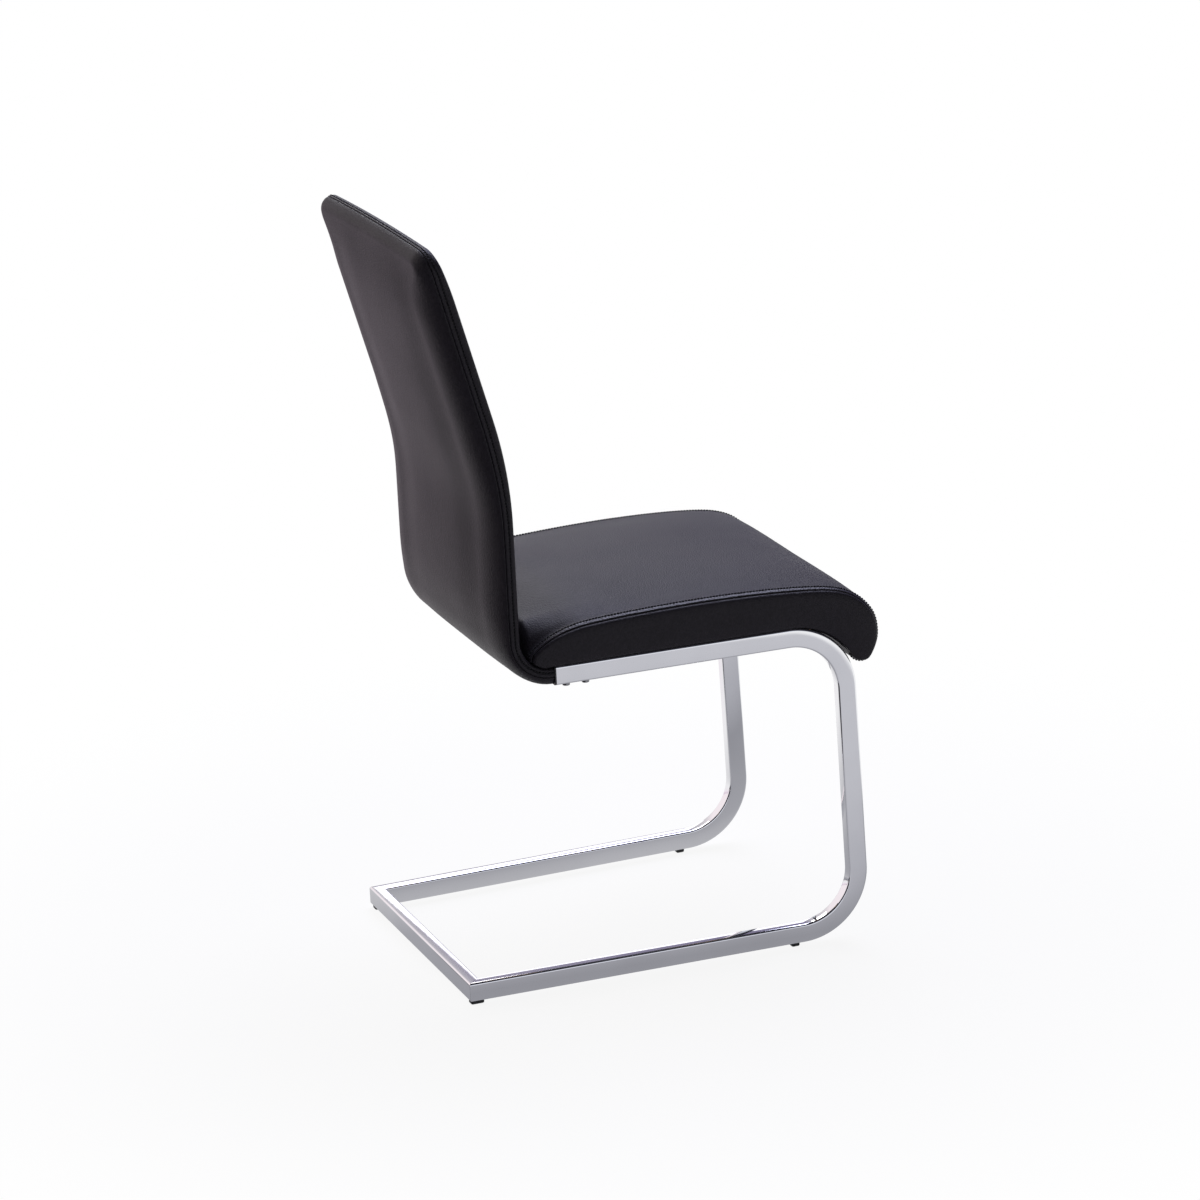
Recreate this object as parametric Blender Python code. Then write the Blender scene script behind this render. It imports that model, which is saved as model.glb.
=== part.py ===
"""Cantilever dining chair with a padded seat, a padded L-shaped back and a bent rectangular tube frame.

Front is -Y, up is +Z, the floor is Z = 0 and the chair is symmetric about X = 0.
Lengths are metres. Every solid is derived from the dimensions below.
"""
import bpy
import bmesh
from math import asin, cos, exp, pi, radians, sin
from mathutils import Vector

# Steel frame
FRAME_WIDTH = 0.3976       # outside width at the rear floor corners
FRAME_SPLAY = 0.0204       # each side runs outward this much per metre towards the front
RAIL_TOP = 0.4345          # top of the seat rails above the floor
RAIL_END_Y = 0.112         # rear end of the seat rails
REAR_FACE_Y = 0.25         # rear face of the floor cross tube
LEG_FOOT_Y = -0.2924       # leg centre line carried down to the runner's centre line
LEG_RAKE = 0.028           # the leg leans back this much per metre of rise
TUBE_H = 0.025             # tube depth in the side view
TUBE_W = 0.018             # tube width across the chair
TUBE_WALL = 0.0015
TUBE_EDGE = 0.003          # outer corner radius of the tube section
BEND_R = 0.078             # centre line radius of both bends
GLIDE_H = 0.005
GLIDE_L = 0.0115           # front glides
REAR_GLIDE_L = 0.018       # rear glides, under the mitred corners
GLIDE_W = 0.012
GLIDE_EDGE = 0.001
GLIDE_INSET = 0.002        # rear glides inside the rear face, and their stems inside their front ends
GLIDE_SETBACK = 0.0145     # front glides behind the end of the floor bend
STEM_R = 0.003

# Seat
SEAT_RISE = 0.0545         # side seam above the rail top, where it is highest
SEAT_CROWN = 0.010         # the middle stands this much above the side seams
NOSE_OVER = 0.0370         # the nose stands this far in front of the leg's foot line
NOSE_TIP = 0.0336          # foremost point above the lowest one
NOSE_DROP = 0.0585         # the lip hangs this far below the rail top
LIP_R = 0.100              # inner radius of the bent board behind the nose
LIP_ANGLE = radians(56)
LIP_SETBACK = 0.0064       # start of the board's bend behind the end of the front bend
SEAT_INSET = 0.0020        # side seams stand this far inside the tube's outer face
SIDE_BULGE = 0.0030
SEAT_BOARD_T = 0.008
SEAT_TO_BACK = 0.0015      # the seat's rear underside follows the heel of the back at this distance
TOE_ANGLE = radians(46)    # how far up the heel it does
# Points of the side seam: behind the toe, behind the tip, under the tip and before the end of the lip
REAR_CURVE = ((0.005, 0.033), (0.038, 0.0143), (0.092, 0.0046))
NOSE_CURVE = ((0.105, 0.005), (0.042, 0.0172), (0.0080, 0.0460))
CHIN_CURVE = ((0.010, 0.006), (0.0215, 0.0))
LIP_CURVE = (0.005, 0.0095)
PANEL_FULL = 0.045         # a side panel this high bulges fully

# Back
BACK_INSET = 0.001         # sides of the back inside the tube's outer face
BACK_TOP = 0.9870          # front top edge above the floor
BACK_SETBACK = 0.0452      # upright front face behind the rail end
BACK_KINK_Z = 0.695        # height where the upright and the reclined lines cross
RECLINE = radians(14.9)
RECLINE_R = 0.545
HEEL_FLAT = 0.0024         # straight part of the foot before its bend
HEEL_DROP = 0.0025         # top of the back's foot below the rail top
BACK_CORNER_R = 0.028
SEAM_DEPTH = 0.0135        # side seam behind the front face
REAR_ROLL = 0.0108         # depth of the rolled rear edge at the foot
REAR_BELLY = 0.0053        # the upright part is this much deeper
RECLINE_BELLY = 0.0015     # and the reclined part again this much
BELLY_START = 0.030        # the depth grows from here before the end of the heel
BELLY_END = 0.050          # to here behind it
REAR_ROLL_W = 0.058        # width of the rolled rear edge along the sides
FOOT_ROLL_W = 0.012
TOP_ROLL_W = 0.014
TOP_NARROW_L = 0.070       # the roll narrows over this length below the top edge
TOP_TAPER = 0.32           # and loses this share of its depth
TOP_TAPER_L = 0.090
TOP_BOW = 0.0055           # the top edge rises this much in the middle
BOW_FALL = 0.75            # and loses this share of it towards the sides
BOW_L = 0.250
ROLL_POWER = 1.5           # the roll's outline: 2 is an ellipse, less is flatter
REAR_CROWN = 0.0034
BACK_SWELL = 0.24          # the reclined part is this much thicker than the upright part
TOP_EASE = 0.006           # the front face falls back this much at the top edge
TOP_EASE_L = 0.075
FRONT_CROWN = 0.004
FRONT_EDGE_R = 0.005
FOOT_SCALE = 0.80          # the foot under the seat is this much thinner than the back
BACK_BOARD_T = 0.009
BACK_BOARD_DEPTH = 0.012   # front of the board behind the front face
BACK_BOARD_INSET = 0.025
FOOT_BOARD_DEPTH = 0.0045

# Sheets, fasteners and clearances
COVER_T = 0.0015
GAP = 0.0003               # clearance between pieces that touch
BOLT_R = 0.003
BOLT_HEAD_R = 0.005
BOLT_HEAD_H = 0.004
BOLT_EDGE = 0.0006
SCREW_HEAD_R = 0.0044
SCREW_HEAD_H = 0.004
SOCKET_R = 0.0026
INSERT_R = 0.0038
BOLT_INSET = 0.0105        # bolt axis inside the tube's outer face
REAR_BOLTS = (0.016, 0.042)    # bolt axes in front of the rail end
HIDDEN_SCREWS = (0.149, 0.300)  # screws inside the tube, in front of the rail end
BAR_W = 0.050              # rear bar between the rails, which carries the back
BAR_SETBACK = 0.018        # rear bar in front of the rail plugs
FRONT_BAR_W = 0.030
FRONT_BAR_REACH = 0.240    # front bar in front of the rail end
BACK_BOLT_X = 0.100
BACK_BOLT_PITCH = 0.025
DUST_T = 0.0006
DUST_INSET = 0.004
PLUG_T = 0.0018
PLUG_L = 0.008

RAIL_Z = RAIL_TOP - TUBE_H / 2
RUN_Z = GLIDE_H + TUBE_H / 2
NOSE_Y = LEG_FOOT_Y - NOSE_OVER
SEAT_BASE = RAIL_TOP + GAP
LIP_Y = LEG_FOOT_Y + BEND_R + LIP_SETBACK
BACK_START_Y = RAIL_END_Y + PLUG_T + 2 * GAP
BACK_FRONT_Y = RAIL_END_Y + BACK_SETBACK
HEEL_R = BACK_FRONT_Y - BACK_START_Y - HEEL_FLAT
FOOT_Z = RAIL_TOP - HEEL_DROP


def clear_scene():
    for ob in list(bpy.data.objects):
        bpy.data.objects.remove(ob, do_unlink=True)


def material(name, color, metallic, roughness):
    mat = bpy.data.materials.new(name)
    mat.use_nodes = True
    shader = mat.node_tree.nodes["Principled BSDF"]
    shader.inputs["Base Color"].default_value = (*color, 1.0)
    shader.inputs["Metallic"].default_value = metallic
    shader.inputs["Roughness"].default_value = roughness
    return mat


def add_object(name, bm, look):
    bmesh.ops.recalc_face_normals(bm, faces=bm.faces)
    mesh = bpy.data.meshes.new(name)
    bm.to_mesh(mesh)
    bm.free()
    ob = bpy.data.objects.new(name, mesh)
    bpy.context.scene.collection.objects.link(ob)
    if look is not None:
        ob.data.materials.append(material(name, *look))
    return ob


def cut(ob, cutter):
    cutter.hide_render = True
    cutter.display_type = "WIRE"
    mod = ob.modifiers.new("holes", "BOOLEAN")
    mod.operation = "DIFFERENCE"
    mod.solver = "EXACT"
    mod.object = cutter
    return ob


def half_width(y):
    """Outer face of the side tubes at this depth."""
    return FRAME_WIDTH / 2 + FRAME_SPLAY * (REAR_FACE_Y - y)


def smooth(a, b, v):
    t = min(1.0, max(0.0, (v - a) / (b - a)))
    return t * t * (3 - 2 * t)


def fillet_path(corners, radii, steps):
    """Polyline through 2D corners with each inner corner rounded."""
    pts = [Vector(corners[0])]
    for i in range(1, len(corners) - 1):
        p = Vector(corners[i])
        u = (Vector(corners[i - 1]) - p).normalized()
        v = (Vector(corners[i + 1]) - p).normalized()
        half = u.angle(v) / 2
        reach = radii[i - 1] * cos(half) / sin(half)
        centre = p + (u + v).normalized() * (radii[i - 1] / sin(half))
        start = p + u * reach - centre
        turn = start.angle_signed(p + v * reach - centre)
        for k in range(steps + 1):
            a = -turn * k / steps
            turned = Vector((start.x * cos(a) - start.y * sin(a), start.x * sin(a) + start.y * cos(a)))
            pts.append(centre + turned)
    pts.append(Vector(corners[-1]))
    return pts


def rounded_rect(w, h, r, steps=3):
    pts = []
    for cx, cy, a0 in ((1, 1, 0), (-1, 1, 90), (-1, -1, 180), (1, -1, 270)):
        for k in range(steps + 1):
            a = radians(a0 + 90 * k / steps)
            pts.append((cx * (w / 2 - r) + r * cos(a), cy * (h / 2 - r) + r * sin(a)))
    return pts


def bridge(bm, a, b, closed):
    """Quads between two rows of vertices of equal length."""
    n = len(a)
    for i in range(n if closed else n - 1):
        j = (i + 1) % n
        bm.faces.new((a[i], a[j], b[j], b[i]))


def split_ngons(bm):
    bm.normal_update()
    faces = [f for f in bm.faces if len(f.verts) > 4]
    bmesh.ops.triangulate(bm, faces=faces, ngon_method="EAR_CLIP")


def tube_mesh(rings_out, rings_in):
    """Open-ended hollow tube from matching outer and inner rings."""
    bm = bmesh.new()
    walls = []
    for rings in (rings_out, rings_in):
        rows = [[bm.verts.new(p) for p in ring] for ring in rings]
        for a, b in zip(rows, rows[1:]):
            bridge(bm, a, b, True)
        walls.append(rows)
    for end in (0, -1):
        bridge(bm, walls[0][end], walls[1][end], True)
    return bm


def add_cylinder(bm, x, y, z0, z1, r, segments=16):
    made = bmesh.ops.create_cone(bm, cap_ends=True, segments=segments, radius1=r, radius2=r, depth=z1 - z0)
    bmesh.ops.translate(bm, verts=made["verts"], vec=(x, y, (z0 + z1) / 2))


def spin_mesh(x, y, profile, segments=12):
    """Solid of revolution about a vertical axis from (radius, z) points that start and end on the axis."""
    bm = bmesh.new()
    rows = []
    for r, z in profile:
        if r == 0:
            rows.append([bm.verts.new((x, y, z))])
        else:
            angles = [2 * pi * k / segments for k in range(segments)]
            rows.append([bm.verts.new((x + r * cos(a), y + r * sin(a), z)) for a in angles])
    for a, b in zip(rows, rows[1:]):
        for k in range(segments):
            n = (k + 1) % segments
            if len(a) == 1:
                bm.faces.new((a[0], b[n], b[k]))
            elif len(b) == 1:
                bm.faces.new((a[k], a[n], b[0]))
            else:
                bm.faces.new((a[k], a[n], b[n], b[k]))
    return bm


def prism_mesh(corners, z0, z1):
    """Straight prism over a plan outline."""
    bm = bmesh.new()
    low = [bm.verts.new((x, y, z0)) for x, y in corners]
    high = [bm.verts.new((x, y, z1)) for x, y in corners]
    bridge(bm, low, high, True)
    bm.faces.new(low)
    bm.faces.new(high)
    return bm


clear_scene()

CHROME = ((0.78, 0.79, 0.81), 1.0, 0.08)
STEEL = ((0.06, 0.06, 0.065), 0.6, 0.45)
ZINC = ((0.55, 0.55, 0.53), 1.0, 0.35)
PLASTIC = ((0.015, 0.015, 0.016), 0.0, 0.45)
LEATHERETTE = ((0.045, 0.041, 0.045), 0.0, 0.45)
FOAM = ((0.75, 0.70, 0.52), 0.0, 0.9)
PLY = ((0.52, 0.36, 0.20), 0.0, 0.6)
LINING = ((0.02, 0.02, 0.02), 0.0, 0.95)

# Side tubes: seat rail, front bend, leg, floor bend and runner in one bent tube, mitred at the rear
LEG_TOP_Y = LEG_FOOT_Y + LEG_RAKE * (RAIL_Z - RUN_Z)
TUBE_PATH = fillet_path(
    [(RAIL_END_Y, RAIL_Z), (LEG_TOP_Y, RAIL_Z), (LEG_FOOT_Y, RUN_Z), (REAR_FACE_Y, RUN_Z)],
    [BEND_R, BEND_R], 12)


def tube_ring(side, index, section):
    p = TUBE_PATH[index]
    before = TUBE_PATH[max(0, index - 1)]
    after = TUBE_PATH[min(len(TUBE_PATH) - 1, index + 1)]
    t = ((p - before).normalized() + (after - p).normalized()).normalized()
    ring = []
    for lx, ln in section:
        y = p.x + t.y * ln
        z = p.y - t.x * ln
        if index == len(TUBE_PATH) - 1:
            y = REAR_FACE_Y - (TUBE_W / 2 - lx)
        ring.append((side * (half_width(y) - TUBE_W / 2 + lx), y, z))
    return ring


SECTION_OUT = rounded_rect(TUBE_W, TUBE_H, TUBE_EDGE)
BORE_W = TUBE_W - 2 * TUBE_WALL
BORE_H = TUBE_H - 2 * TUBE_WALL
SECTION_IN = rounded_rect(BORE_W, BORE_H, TUBE_EDGE - TUBE_WALL)
FRONT_GLIDE_Y = LEG_FOOT_Y + BEND_R + GLIDE_SETBACK
REAR_GLIDE_Y = REAR_FACE_Y - GLIDE_INSET - REAR_GLIDE_L / 2
REAR_STEM_Y = REAR_GLIDE_Y - REAR_GLIDE_L / 2 + STEM_R + GLIDE_INSET
GLIDES = (("front", FRONT_GLIDE_Y, GLIDE_L, FRONT_GLIDE_Y),
          ("rear", REAR_GLIDE_Y, REAR_GLIDE_L, REAR_STEM_Y))
RAIL_LOW = RAIL_TOP - TUBE_H


def bolt_x(side, y):
    return side * (half_width(y) - BOLT_INSET)


for side, hand in ((-1, "right"), (1, "left")):
    stations = range(len(TUBE_PATH))
    outside = [tube_ring(side, i, SECTION_OUT) for i in stations]
    inside = [tube_ring(side, i, SECTION_IN) for i in stations]
    tube = add_object("side_tube_" + hand, tube_mesh(outside, inside), CHROME)
    bm = bmesh.new()
    for back in REAR_BOLTS:
        y = RAIL_END_Y - back
        add_cylinder(bm, bolt_x(side, y), y, RAIL_LOW - 0.01, RAIL_TOP + 0.01, BOLT_R + GAP)
    for back in HIDDEN_SCREWS:
        y = RAIL_END_Y - back
        add_cylinder(bm, bolt_x(side, y), y, RAIL_LOW - 0.01, RAIL_Z - 0.003, SCREW_HEAD_R + GAP)
        add_cylinder(bm, bolt_x(side, y), y, RAIL_Z + 0.003, RAIL_TOP + 0.01, BOLT_R + GAP)
    for spot, y, length, stem_y in GLIDES:
        add_cylinder(bm, side * (half_width(stem_y) - TUBE_W / 2), stem_y, 0.0, RUN_Z, STEM_R + GAP)
    cut(tube, add_object("cutter_tube_" + hand, bm, None))

    # Plug in the open rear end of the rail
    core = rounded_rect(BORE_W - 2 * GAP, BORE_H - 2 * GAP, TUBE_EDGE - TUBE_WALL)
    bm = bmesh.new()
    rows = []
    for shape, y in ((core, RAIL_END_Y - PLUG_L), (core, RAIL_END_Y + GAP), (SECTION_OUT, RAIL_END_Y + GAP),
                     (SECTION_OUT, RAIL_END_Y + GAP + PLUG_T)):
        rows.append([bm.verts.new((side * (half_width(RAIL_END_Y) - TUBE_W / 2 + a), y, RAIL_Z + b))
                     for a, b in shape])
    for a, b in zip(rows, rows[1:]):
        bridge(bm, a, b, True)
    bm.faces.new(rows[0])
    bm.faces.new(rows[-1])
    add_object("rail_plug_" + hand, bm, PLASTIC)

    # Glides under the runners, each with a stem in the tube
    for spot, y, length, stem_y in GLIDES:
        x = side * (half_width(y) - TUBE_W / 2)
        bm = bmesh.new()
        foot = rounded_rect(GLIDE_W - 2 * GLIDE_EDGE, length - 2 * GLIDE_EDGE, GLIDE_EDGE)
        outline = rounded_rect(GLIDE_W, length, 2 * GLIDE_EDGE)
        rows = []
        for shape, z in ((foot, 0.0), (outline, GLIDE_EDGE), (outline, GLIDE_H - GAP)):
            rows.append([bm.verts.new((x + a, y + b, z)) for a, b in shape])
        angles = [2 * pi * k / 16 for k in range(16)]
        stem = [(x + STEM_R * cos(a), stem_y + STEM_R * sin(a)) for a in angles]
        rows.append([bm.verts.new((a, b, GLIDE_H - GAP)) for a, b in stem])
        rows.append([bm.verts.new((a, b, GLIDE_H + TUBE_WALL + STEM_R)) for a, b in stem])
        for a, b in zip(rows, rows[1:]):
            bridge(bm, a, b, True)
        bm.faces.new(rows[0])
        bm.faces.new(rows[-1])
        add_object("glide_" + spot + "_" + hand, bm, PLASTIC)

# Floor cross tube, mitred into both runners
rings = [[], []]
for sign in (-1, 1):
    for group, section in enumerate((SECTION_OUT, SECTION_IN)):
        ring = []
        for a, b in section:
            y = REAR_FACE_Y - TUBE_W / 2 + a
            ring.append((sign * (half_width(y) - (REAR_FACE_Y - y) - 1.5 * GAP), y, RUN_Z + b))
        rings[group].append(ring)
add_object("floor_cross_tube", tube_mesh(rings[0], rings[1]), CHROME)

# Flat bars between the rails, under the seat
BOARD_TOP_FOOT = FOOT_Z - FOOT_BOARD_DEPTH
BAR_TOP = RAIL_TOP - DUST_T - GAP
REAR_BAR_Y = RAIL_END_Y - PLUG_L - BAR_SETBACK - BAR_W / 2
FRONT_BAR_Y = RAIL_END_Y - FRONT_BAR_REACH
BACK_BOLTS = []
for x in (-BACK_BOLT_X, BACK_BOLT_X):
    for dy in (-BACK_BOLT_PITCH / 2, BACK_BOLT_PITCH / 2):
        BACK_BOLTS.append((x, REAR_BAR_Y + dy))


def bar(name, y, width, z0, z1):
    corners = []
    for sign, end in ((-1, -1), (1, -1), (1, 1), (-1, 1)):
        edge = y + end * width / 2
        corners.append((sign * (half_width(edge) - TUBE_W - GAP), edge))
    return add_object(name, prism_mesh(corners, z0, z1), STEEL)


rear_bar = bar("seat_bar_rear", REAR_BAR_Y, BAR_W, BOARD_TOP_FOOT + GAP, BAR_TOP)
bar("seat_bar_front", FRONT_BAR_Y, FRONT_BAR_W, BOARD_TOP_FOOT + GAP, BAR_TOP)

# Back: the front face follows a path from the foot under the seat to the top edge
TOP_Y = BACK_FRONT_Y + (BACK_TOP - BACK_KINK_Z) * sin(RECLINE) / cos(RECLINE)
BACK_PATH = fillet_path(
    [(BACK_START_Y, FOOT_Z), (BACK_FRONT_Y, FOOT_Z), (BACK_FRONT_Y, BACK_KINK_Z), (TOP_Y, BACK_TOP)],
    [HEEL_R, RECLINE_R], 24)
BACK_S = [0.0]
for p, q in zip(BACK_PATH, BACK_PATH[1:]):
    BACK_S.append(BACK_S[-1] + (q - p).length)
HEEL_START = BACK_S[1]
HEEL_END = BACK_S[25]
KINK_START = BACK_S[26]
KINK_END = BACK_S[50]
TOP_S = BACK_S[-1]
BACK_HALF = half_width(RAIL_END_Y) - BACK_INSET


def back_frame(s):
    """Point on the front face's middle line and the direction to the rear."""
    i = 0
    while i < len(BACK_S) - 2 and (s > BACK_S[i + 1] or BACK_S[i + 1] == BACK_S[i]):
        i += 1
    t = (s - BACK_S[i]) / (BACK_S[i + 1] - BACK_S[i])
    p = BACK_PATH[i].lerp(BACK_PATH[i + 1], t)
    d = (BACK_PATH[i + 1] - BACK_PATH[i]).normalized()
    if t < 0.5 and i > 0:
        d = d.lerp((BACK_PATH[i] - BACK_PATH[i - 1]).normalized(), 0.5 - t)
    if t > 0.5 and i < len(BACK_S) - 2:
        d = d.lerp((BACK_PATH[i + 2] - BACK_PATH[i + 1]).normalized(), t - 0.5)
    d.normalize()
    return p, Vector((d.y, -d.x))


def back_point(x, s, depth):
    bow = TOP_BOW * (1 - BOW_FALL * (x / BACK_HALF) ** 2) * smooth(TOP_S - BOW_L, TOP_S, s)
    p, n = back_frame(s + bow)
    q = p + n * depth
    return (x, q.x, q.y)


def swell(s):
    return BACK_SWELL * smooth(KINK_START - 0.02, KINK_END - 0.02, s)


def fullness(s):
    """Grows from the thin foot to the upright part and again to the reclined part."""
    return FOOT_SCALE + (1 - FOOT_SCALE) * smooth(HEEL_START, HEEL_END + 0.03, s) + swell(s)


def top_ease(s):
    return TOP_EASE * max(0.0, (s - TOP_S) / TOP_EASE_L + 1) ** 2


def roll_width(s):
    width = FOOT_ROLL_W + (REAR_ROLL_W - FOOT_ROLL_W) * smooth(0.0, HEEL_END, s)
    return width + (TOP_ROLL_W - width) * smooth(TOP_S - TOP_NARROW_L, TOP_S, s)


def rear_depth(s):
    """How far the rear face stands behind the side seam."""
    belly = REAR_BELLY * smooth(HEEL_END - BELLY_START, HEEL_END + BELLY_END, s)
    belly += RECLINE_BELLY * smooth(KINK_START, KINK_END, s)
    return (REAR_ROLL + belly) * fullness(s) * (1 - TOP_TAPER * smooth(TOP_S - TOP_TAPER_L, TOP_S, s))


def board_depth(s):
    full = BACK_BOARD_DEPTH * (1 + swell(s))
    return FOOT_BOARD_DEPTH + (full - FOOT_BOARD_DEPTH) * smooth(HEEL_START, HEEL_END + 0.03, s)


def upright(s):
    """Weight of the crowns: none in the heel, full along the back, none at the top edge."""
    return smooth(HEEL_END - 0.01, HEEL_END + 0.10, s) * (1 - smooth(TOP_S - 0.09, TOP_S, s))


LOW_ROWS = [HEEL_START * k for k in (0, 1)]
LOW_ROWS += [HEEL_START + (HEEL_END - HEEL_START) * k / 7 for k in range(1, 8)]
LOW_ROWS += [HEEL_END + (KINK_START - HEEL_END) * k / 3 for k in (1, 2, 3)]
LOW_ROWS += [KINK_START + (KINK_END - KINK_START) * k / 6 for k in range(1, 7)]
HIGH_ROWS = 5
CORNER_ROWS = [radians(a) for a in (0, 22, 45, 68, 90)]
ROWS = len(LOW_ROWS) + HIGH_ROWS + len(CORNER_ROWS) - 1
COLUMNS = (-1.0, -0.86, -0.66, -0.35, 0.0, 0.35, 0.66, 0.86, 1.0)


def outline_row(i, inset):
    """Half width and path position of row i when the outline is moved inward."""
    if i < len(LOW_ROWS):
        s = LOW_ROWS[i]
        return BACK_HALF - inset(s), s
    k = i - len(LOW_ROWS) + 1
    top = inset(TOP_S)
    r = BACK_CORNER_R * exp(-top / BACK_CORNER_R)
    bend = TOP_S - top - r
    if k < HIGH_ROWS:
        s = KINK_END + (bend - KINK_END) * k / HIGH_ROWS
        return BACK_HALF - inset(s), s
    a = CORNER_ROWS[k - HIGH_ROWS]
    s = bend + r * sin(a)
    return BACK_HALF - inset(s) - r * (1 - cos(a)), s


def edge_loop(bm, inset, depth):
    """Vertices up the right edge, across the top and down the left edge."""
    pts = []
    for i in range(ROWS):
        w, s = outline_row(i, inset)
        pts.append((-w, s))
    w, s = pts[-1]
    pts += [(-c * w, s) for c in COLUMNS[1:-1]]
    pts += [(-x, s) for x, s in reversed(pts[:ROWS])]
    return [bm.verts.new(back_point(x, s, depth(s))) for x, s in pts]


def back_grid(bm, inset, depth):
    """Grid of vertices over the face; its edge is returned in the order of edge_loop."""
    rows = []
    for i in range(ROWS):
        w, s = outline_row(i, inset)
        rows.append([bm.verts.new(back_point(c * w, s, depth(c, s))) for c in COLUMNS])
    for a, b in zip(rows, rows[1:]):
        bridge(bm, a, b, False)
    edge = [row[0] for row in rows] + rows[-1][1:-1] + [row[-1] for row in reversed(rows)]
    return rows[0], edge


def back_skin(bm, rings, inset, depth):
    """Face grid with rings that carry its edge round the side; returns the last ring and the bottom row."""
    bottom, edge = back_grid(bm, inset, depth)
    loops = [edge]
    for ring_inset, ring_depth in rings:
        loops.append(edge_loop(bm, ring_inset, ring_depth))
        bridge(bm, loops[-2], loops[-1], False)
    low = [loop[0] for loop in reversed(loops[1:])] + bottom + [loop[-1] for loop in loops[1:]]
    return loops[-1], low


def fixed(value):
    return lambda s: value


def edge_radius(s):
    """Rounding of the front edge, limited by the pad in front of the board."""
    return min(FRONT_EDGE_R * fullness(s), board_depth(s) - 4 * GAP)


def front_rings(off, floor):
    """Rounded front edge, from the face outward to the side and back to the given depth."""
    rings = []
    for a in (30, 60, 90):
        def ring_inset(s, turn=radians(a)):
            return off + (edge_radius(s) - off) * (1 - sin(turn))

        def ring_depth(s, turn=radians(a)):
            return top_ease(s) + off + (edge_radius(s) - off) * (1 - cos(turn))

        rings.append((ring_inset, ring_depth))
    rings.append((fixed(off), floor))
    return rings


def front_face(off):
    return lambda c, s: top_ease(s) + off - FRONT_CROWN * (1 - c * c) * upright(s)


def seam(s):
    return SEAM_DEPTH * fullness(s)


def rear_rings(off, first):
    """Rolled rear edge, from the face outward to the depth fraction given by first."""
    rings = []
    for k in (1, 2, 3, 4):
        def sine(s, k=k):
            f = min(0.999, max(0.0, first(s)))
            a = asin(f ** (ROLL_POWER / 2))
            return pi / 2 + (a - pi / 2) * k / 4

        def ring_inset(s, sine=sine):
            return off + (roll_width(s) - off) * (1 - cos(sine(s)))

        def ring_depth(s, sine=sine):
            return seam(s) + (rear_depth(s) - off) * sin(sine(s)) ** (2 / ROLL_POWER)

        rings.append((ring_inset, ring_depth))
    return rings


def rear_face(off):
    def depth(c, s):
        along = (0.5 + 0.5 * upright(s)) * (1 - smooth(TOP_S - 0.06, TOP_S - 0.01, s))
        crown = REAR_CROWN * (1 - c ** 4) * along
        return seam(s) + rear_depth(s) + crown * fullness(s) - off
    return depth


def back_cover(name, outer, inner):
    bm = bmesh.new()
    ring_a, low_a = outer(bm)
    ring_b, low_b = inner(bm)
    bridge(bm, ring_a, ring_b, False)
    bridge(bm, low_a, low_b, False)
    return add_object(name, bm, LEATHERETTE)


def seam_front(s):
    return seam(s) - GAP


back_cover("back_front_cover",
           lambda bm: back_skin(bm, front_rings(0.0, seam_front), edge_radius, front_face(0.0)),
           lambda bm: back_skin(bm, front_rings(COVER_T, seam_front), edge_radius, front_face(COVER_T)))
back_cover("back_rear_cover",
           lambda bm: back_skin(bm, rear_rings(0.0, fixed(0.0)), roll_width, rear_face(0.0)),
           lambda bm: back_skin(bm, rear_rings(COVER_T, fixed(0.0)), roll_width, rear_face(COVER_T)))

SKIN = COVER_T + GAP
ROLL_SKIN = COVER_T + 5 * GAP


def back_foam(name, rings, inset, depth, flat_inset, flat_depth):
    """Solid pad between a skin and the board."""
    bm = bmesh.new()
    ring, low = back_skin(bm, rings, inset, depth)
    bottom, edge = back_grid(bm, flat_inset, flat_depth)
    bridge(bm, ring, edge, False)
    bm.faces.new(low + list(reversed(bottom)))
    split_ngons(bm)
    return add_object(name, bm, FOAM)


def foam_rear_start(s):
    return (board_depth(s) + BACK_BOARD_T + 3 * GAP - seam(s)) / (rear_depth(s) - ROLL_SKIN)


back_foam("back_front_foam", front_rings(SKIN, lambda s: board_depth(s) - 2 * GAP), edge_radius,
          front_face(SKIN), fixed(2 * SKIN), lambda c, s: board_depth(s) - GAP)
REAR_FOAM_RINGS = rear_rings(ROLL_SKIN, foam_rear_start)
back_foam("back_rear_foam", REAR_FOAM_RINGS, roll_width, rear_face(ROLL_SKIN),
          lambda s: REAR_FOAM_RINGS[-1][0](s) + SKIN, lambda c, s: board_depth(s) + BACK_BOARD_T + GAP)

# Bent board inside the back; its foot runs forward between the rails under the rear bar
bm = bmesh.new()
FOOT_REACH = BACK_START_Y - (REAR_BAR_Y - BAR_W / 2) + 0.006
FOOT_HALF = half_width(RAIL_END_Y) - TUBE_W - 0.004
spans = [(FOOT_HALF, -FOOT_REACH), (FOOT_HALF, HEEL_START)]
for i in range(2, ROWS):
    w, s = outline_row(i, fixed(BACK_BOARD_INSET))
    spans.append((FOOT_HALF + (w - FOOT_HALF) * smooth(HEEL_START, HEEL_END, s), s))
rows = []
for w, s in spans:
    d = board_depth(s)
    rows.append([bm.verts.new(back_point(x, s, depth)) for x, depth in
                 ((-w, d), (w, d), (w, d + BACK_BOARD_T), (-w, d + BACK_BOARD_T))])
for a, b in zip(rows, rows[1:]):
    bridge(bm, a, b, True)
bm.faces.new(rows[0])
bm.faces.new(rows[-1])
back_board = add_object("back_board", bm, PLY)

bm = bmesh.new()
BOARD_LOW = BOARD_TOP_FOOT - BACK_BOARD_T
for x, y in BACK_BOLTS:
    add_cylinder(bm, x, y, BOARD_LOW - 0.01, BAR_TOP + 0.01, BOLT_R + GAP)
cutter = add_object("cutter_back_bolts", bm, None)
cut(back_board, cutter)
cut(rear_bar, cutter)


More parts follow.
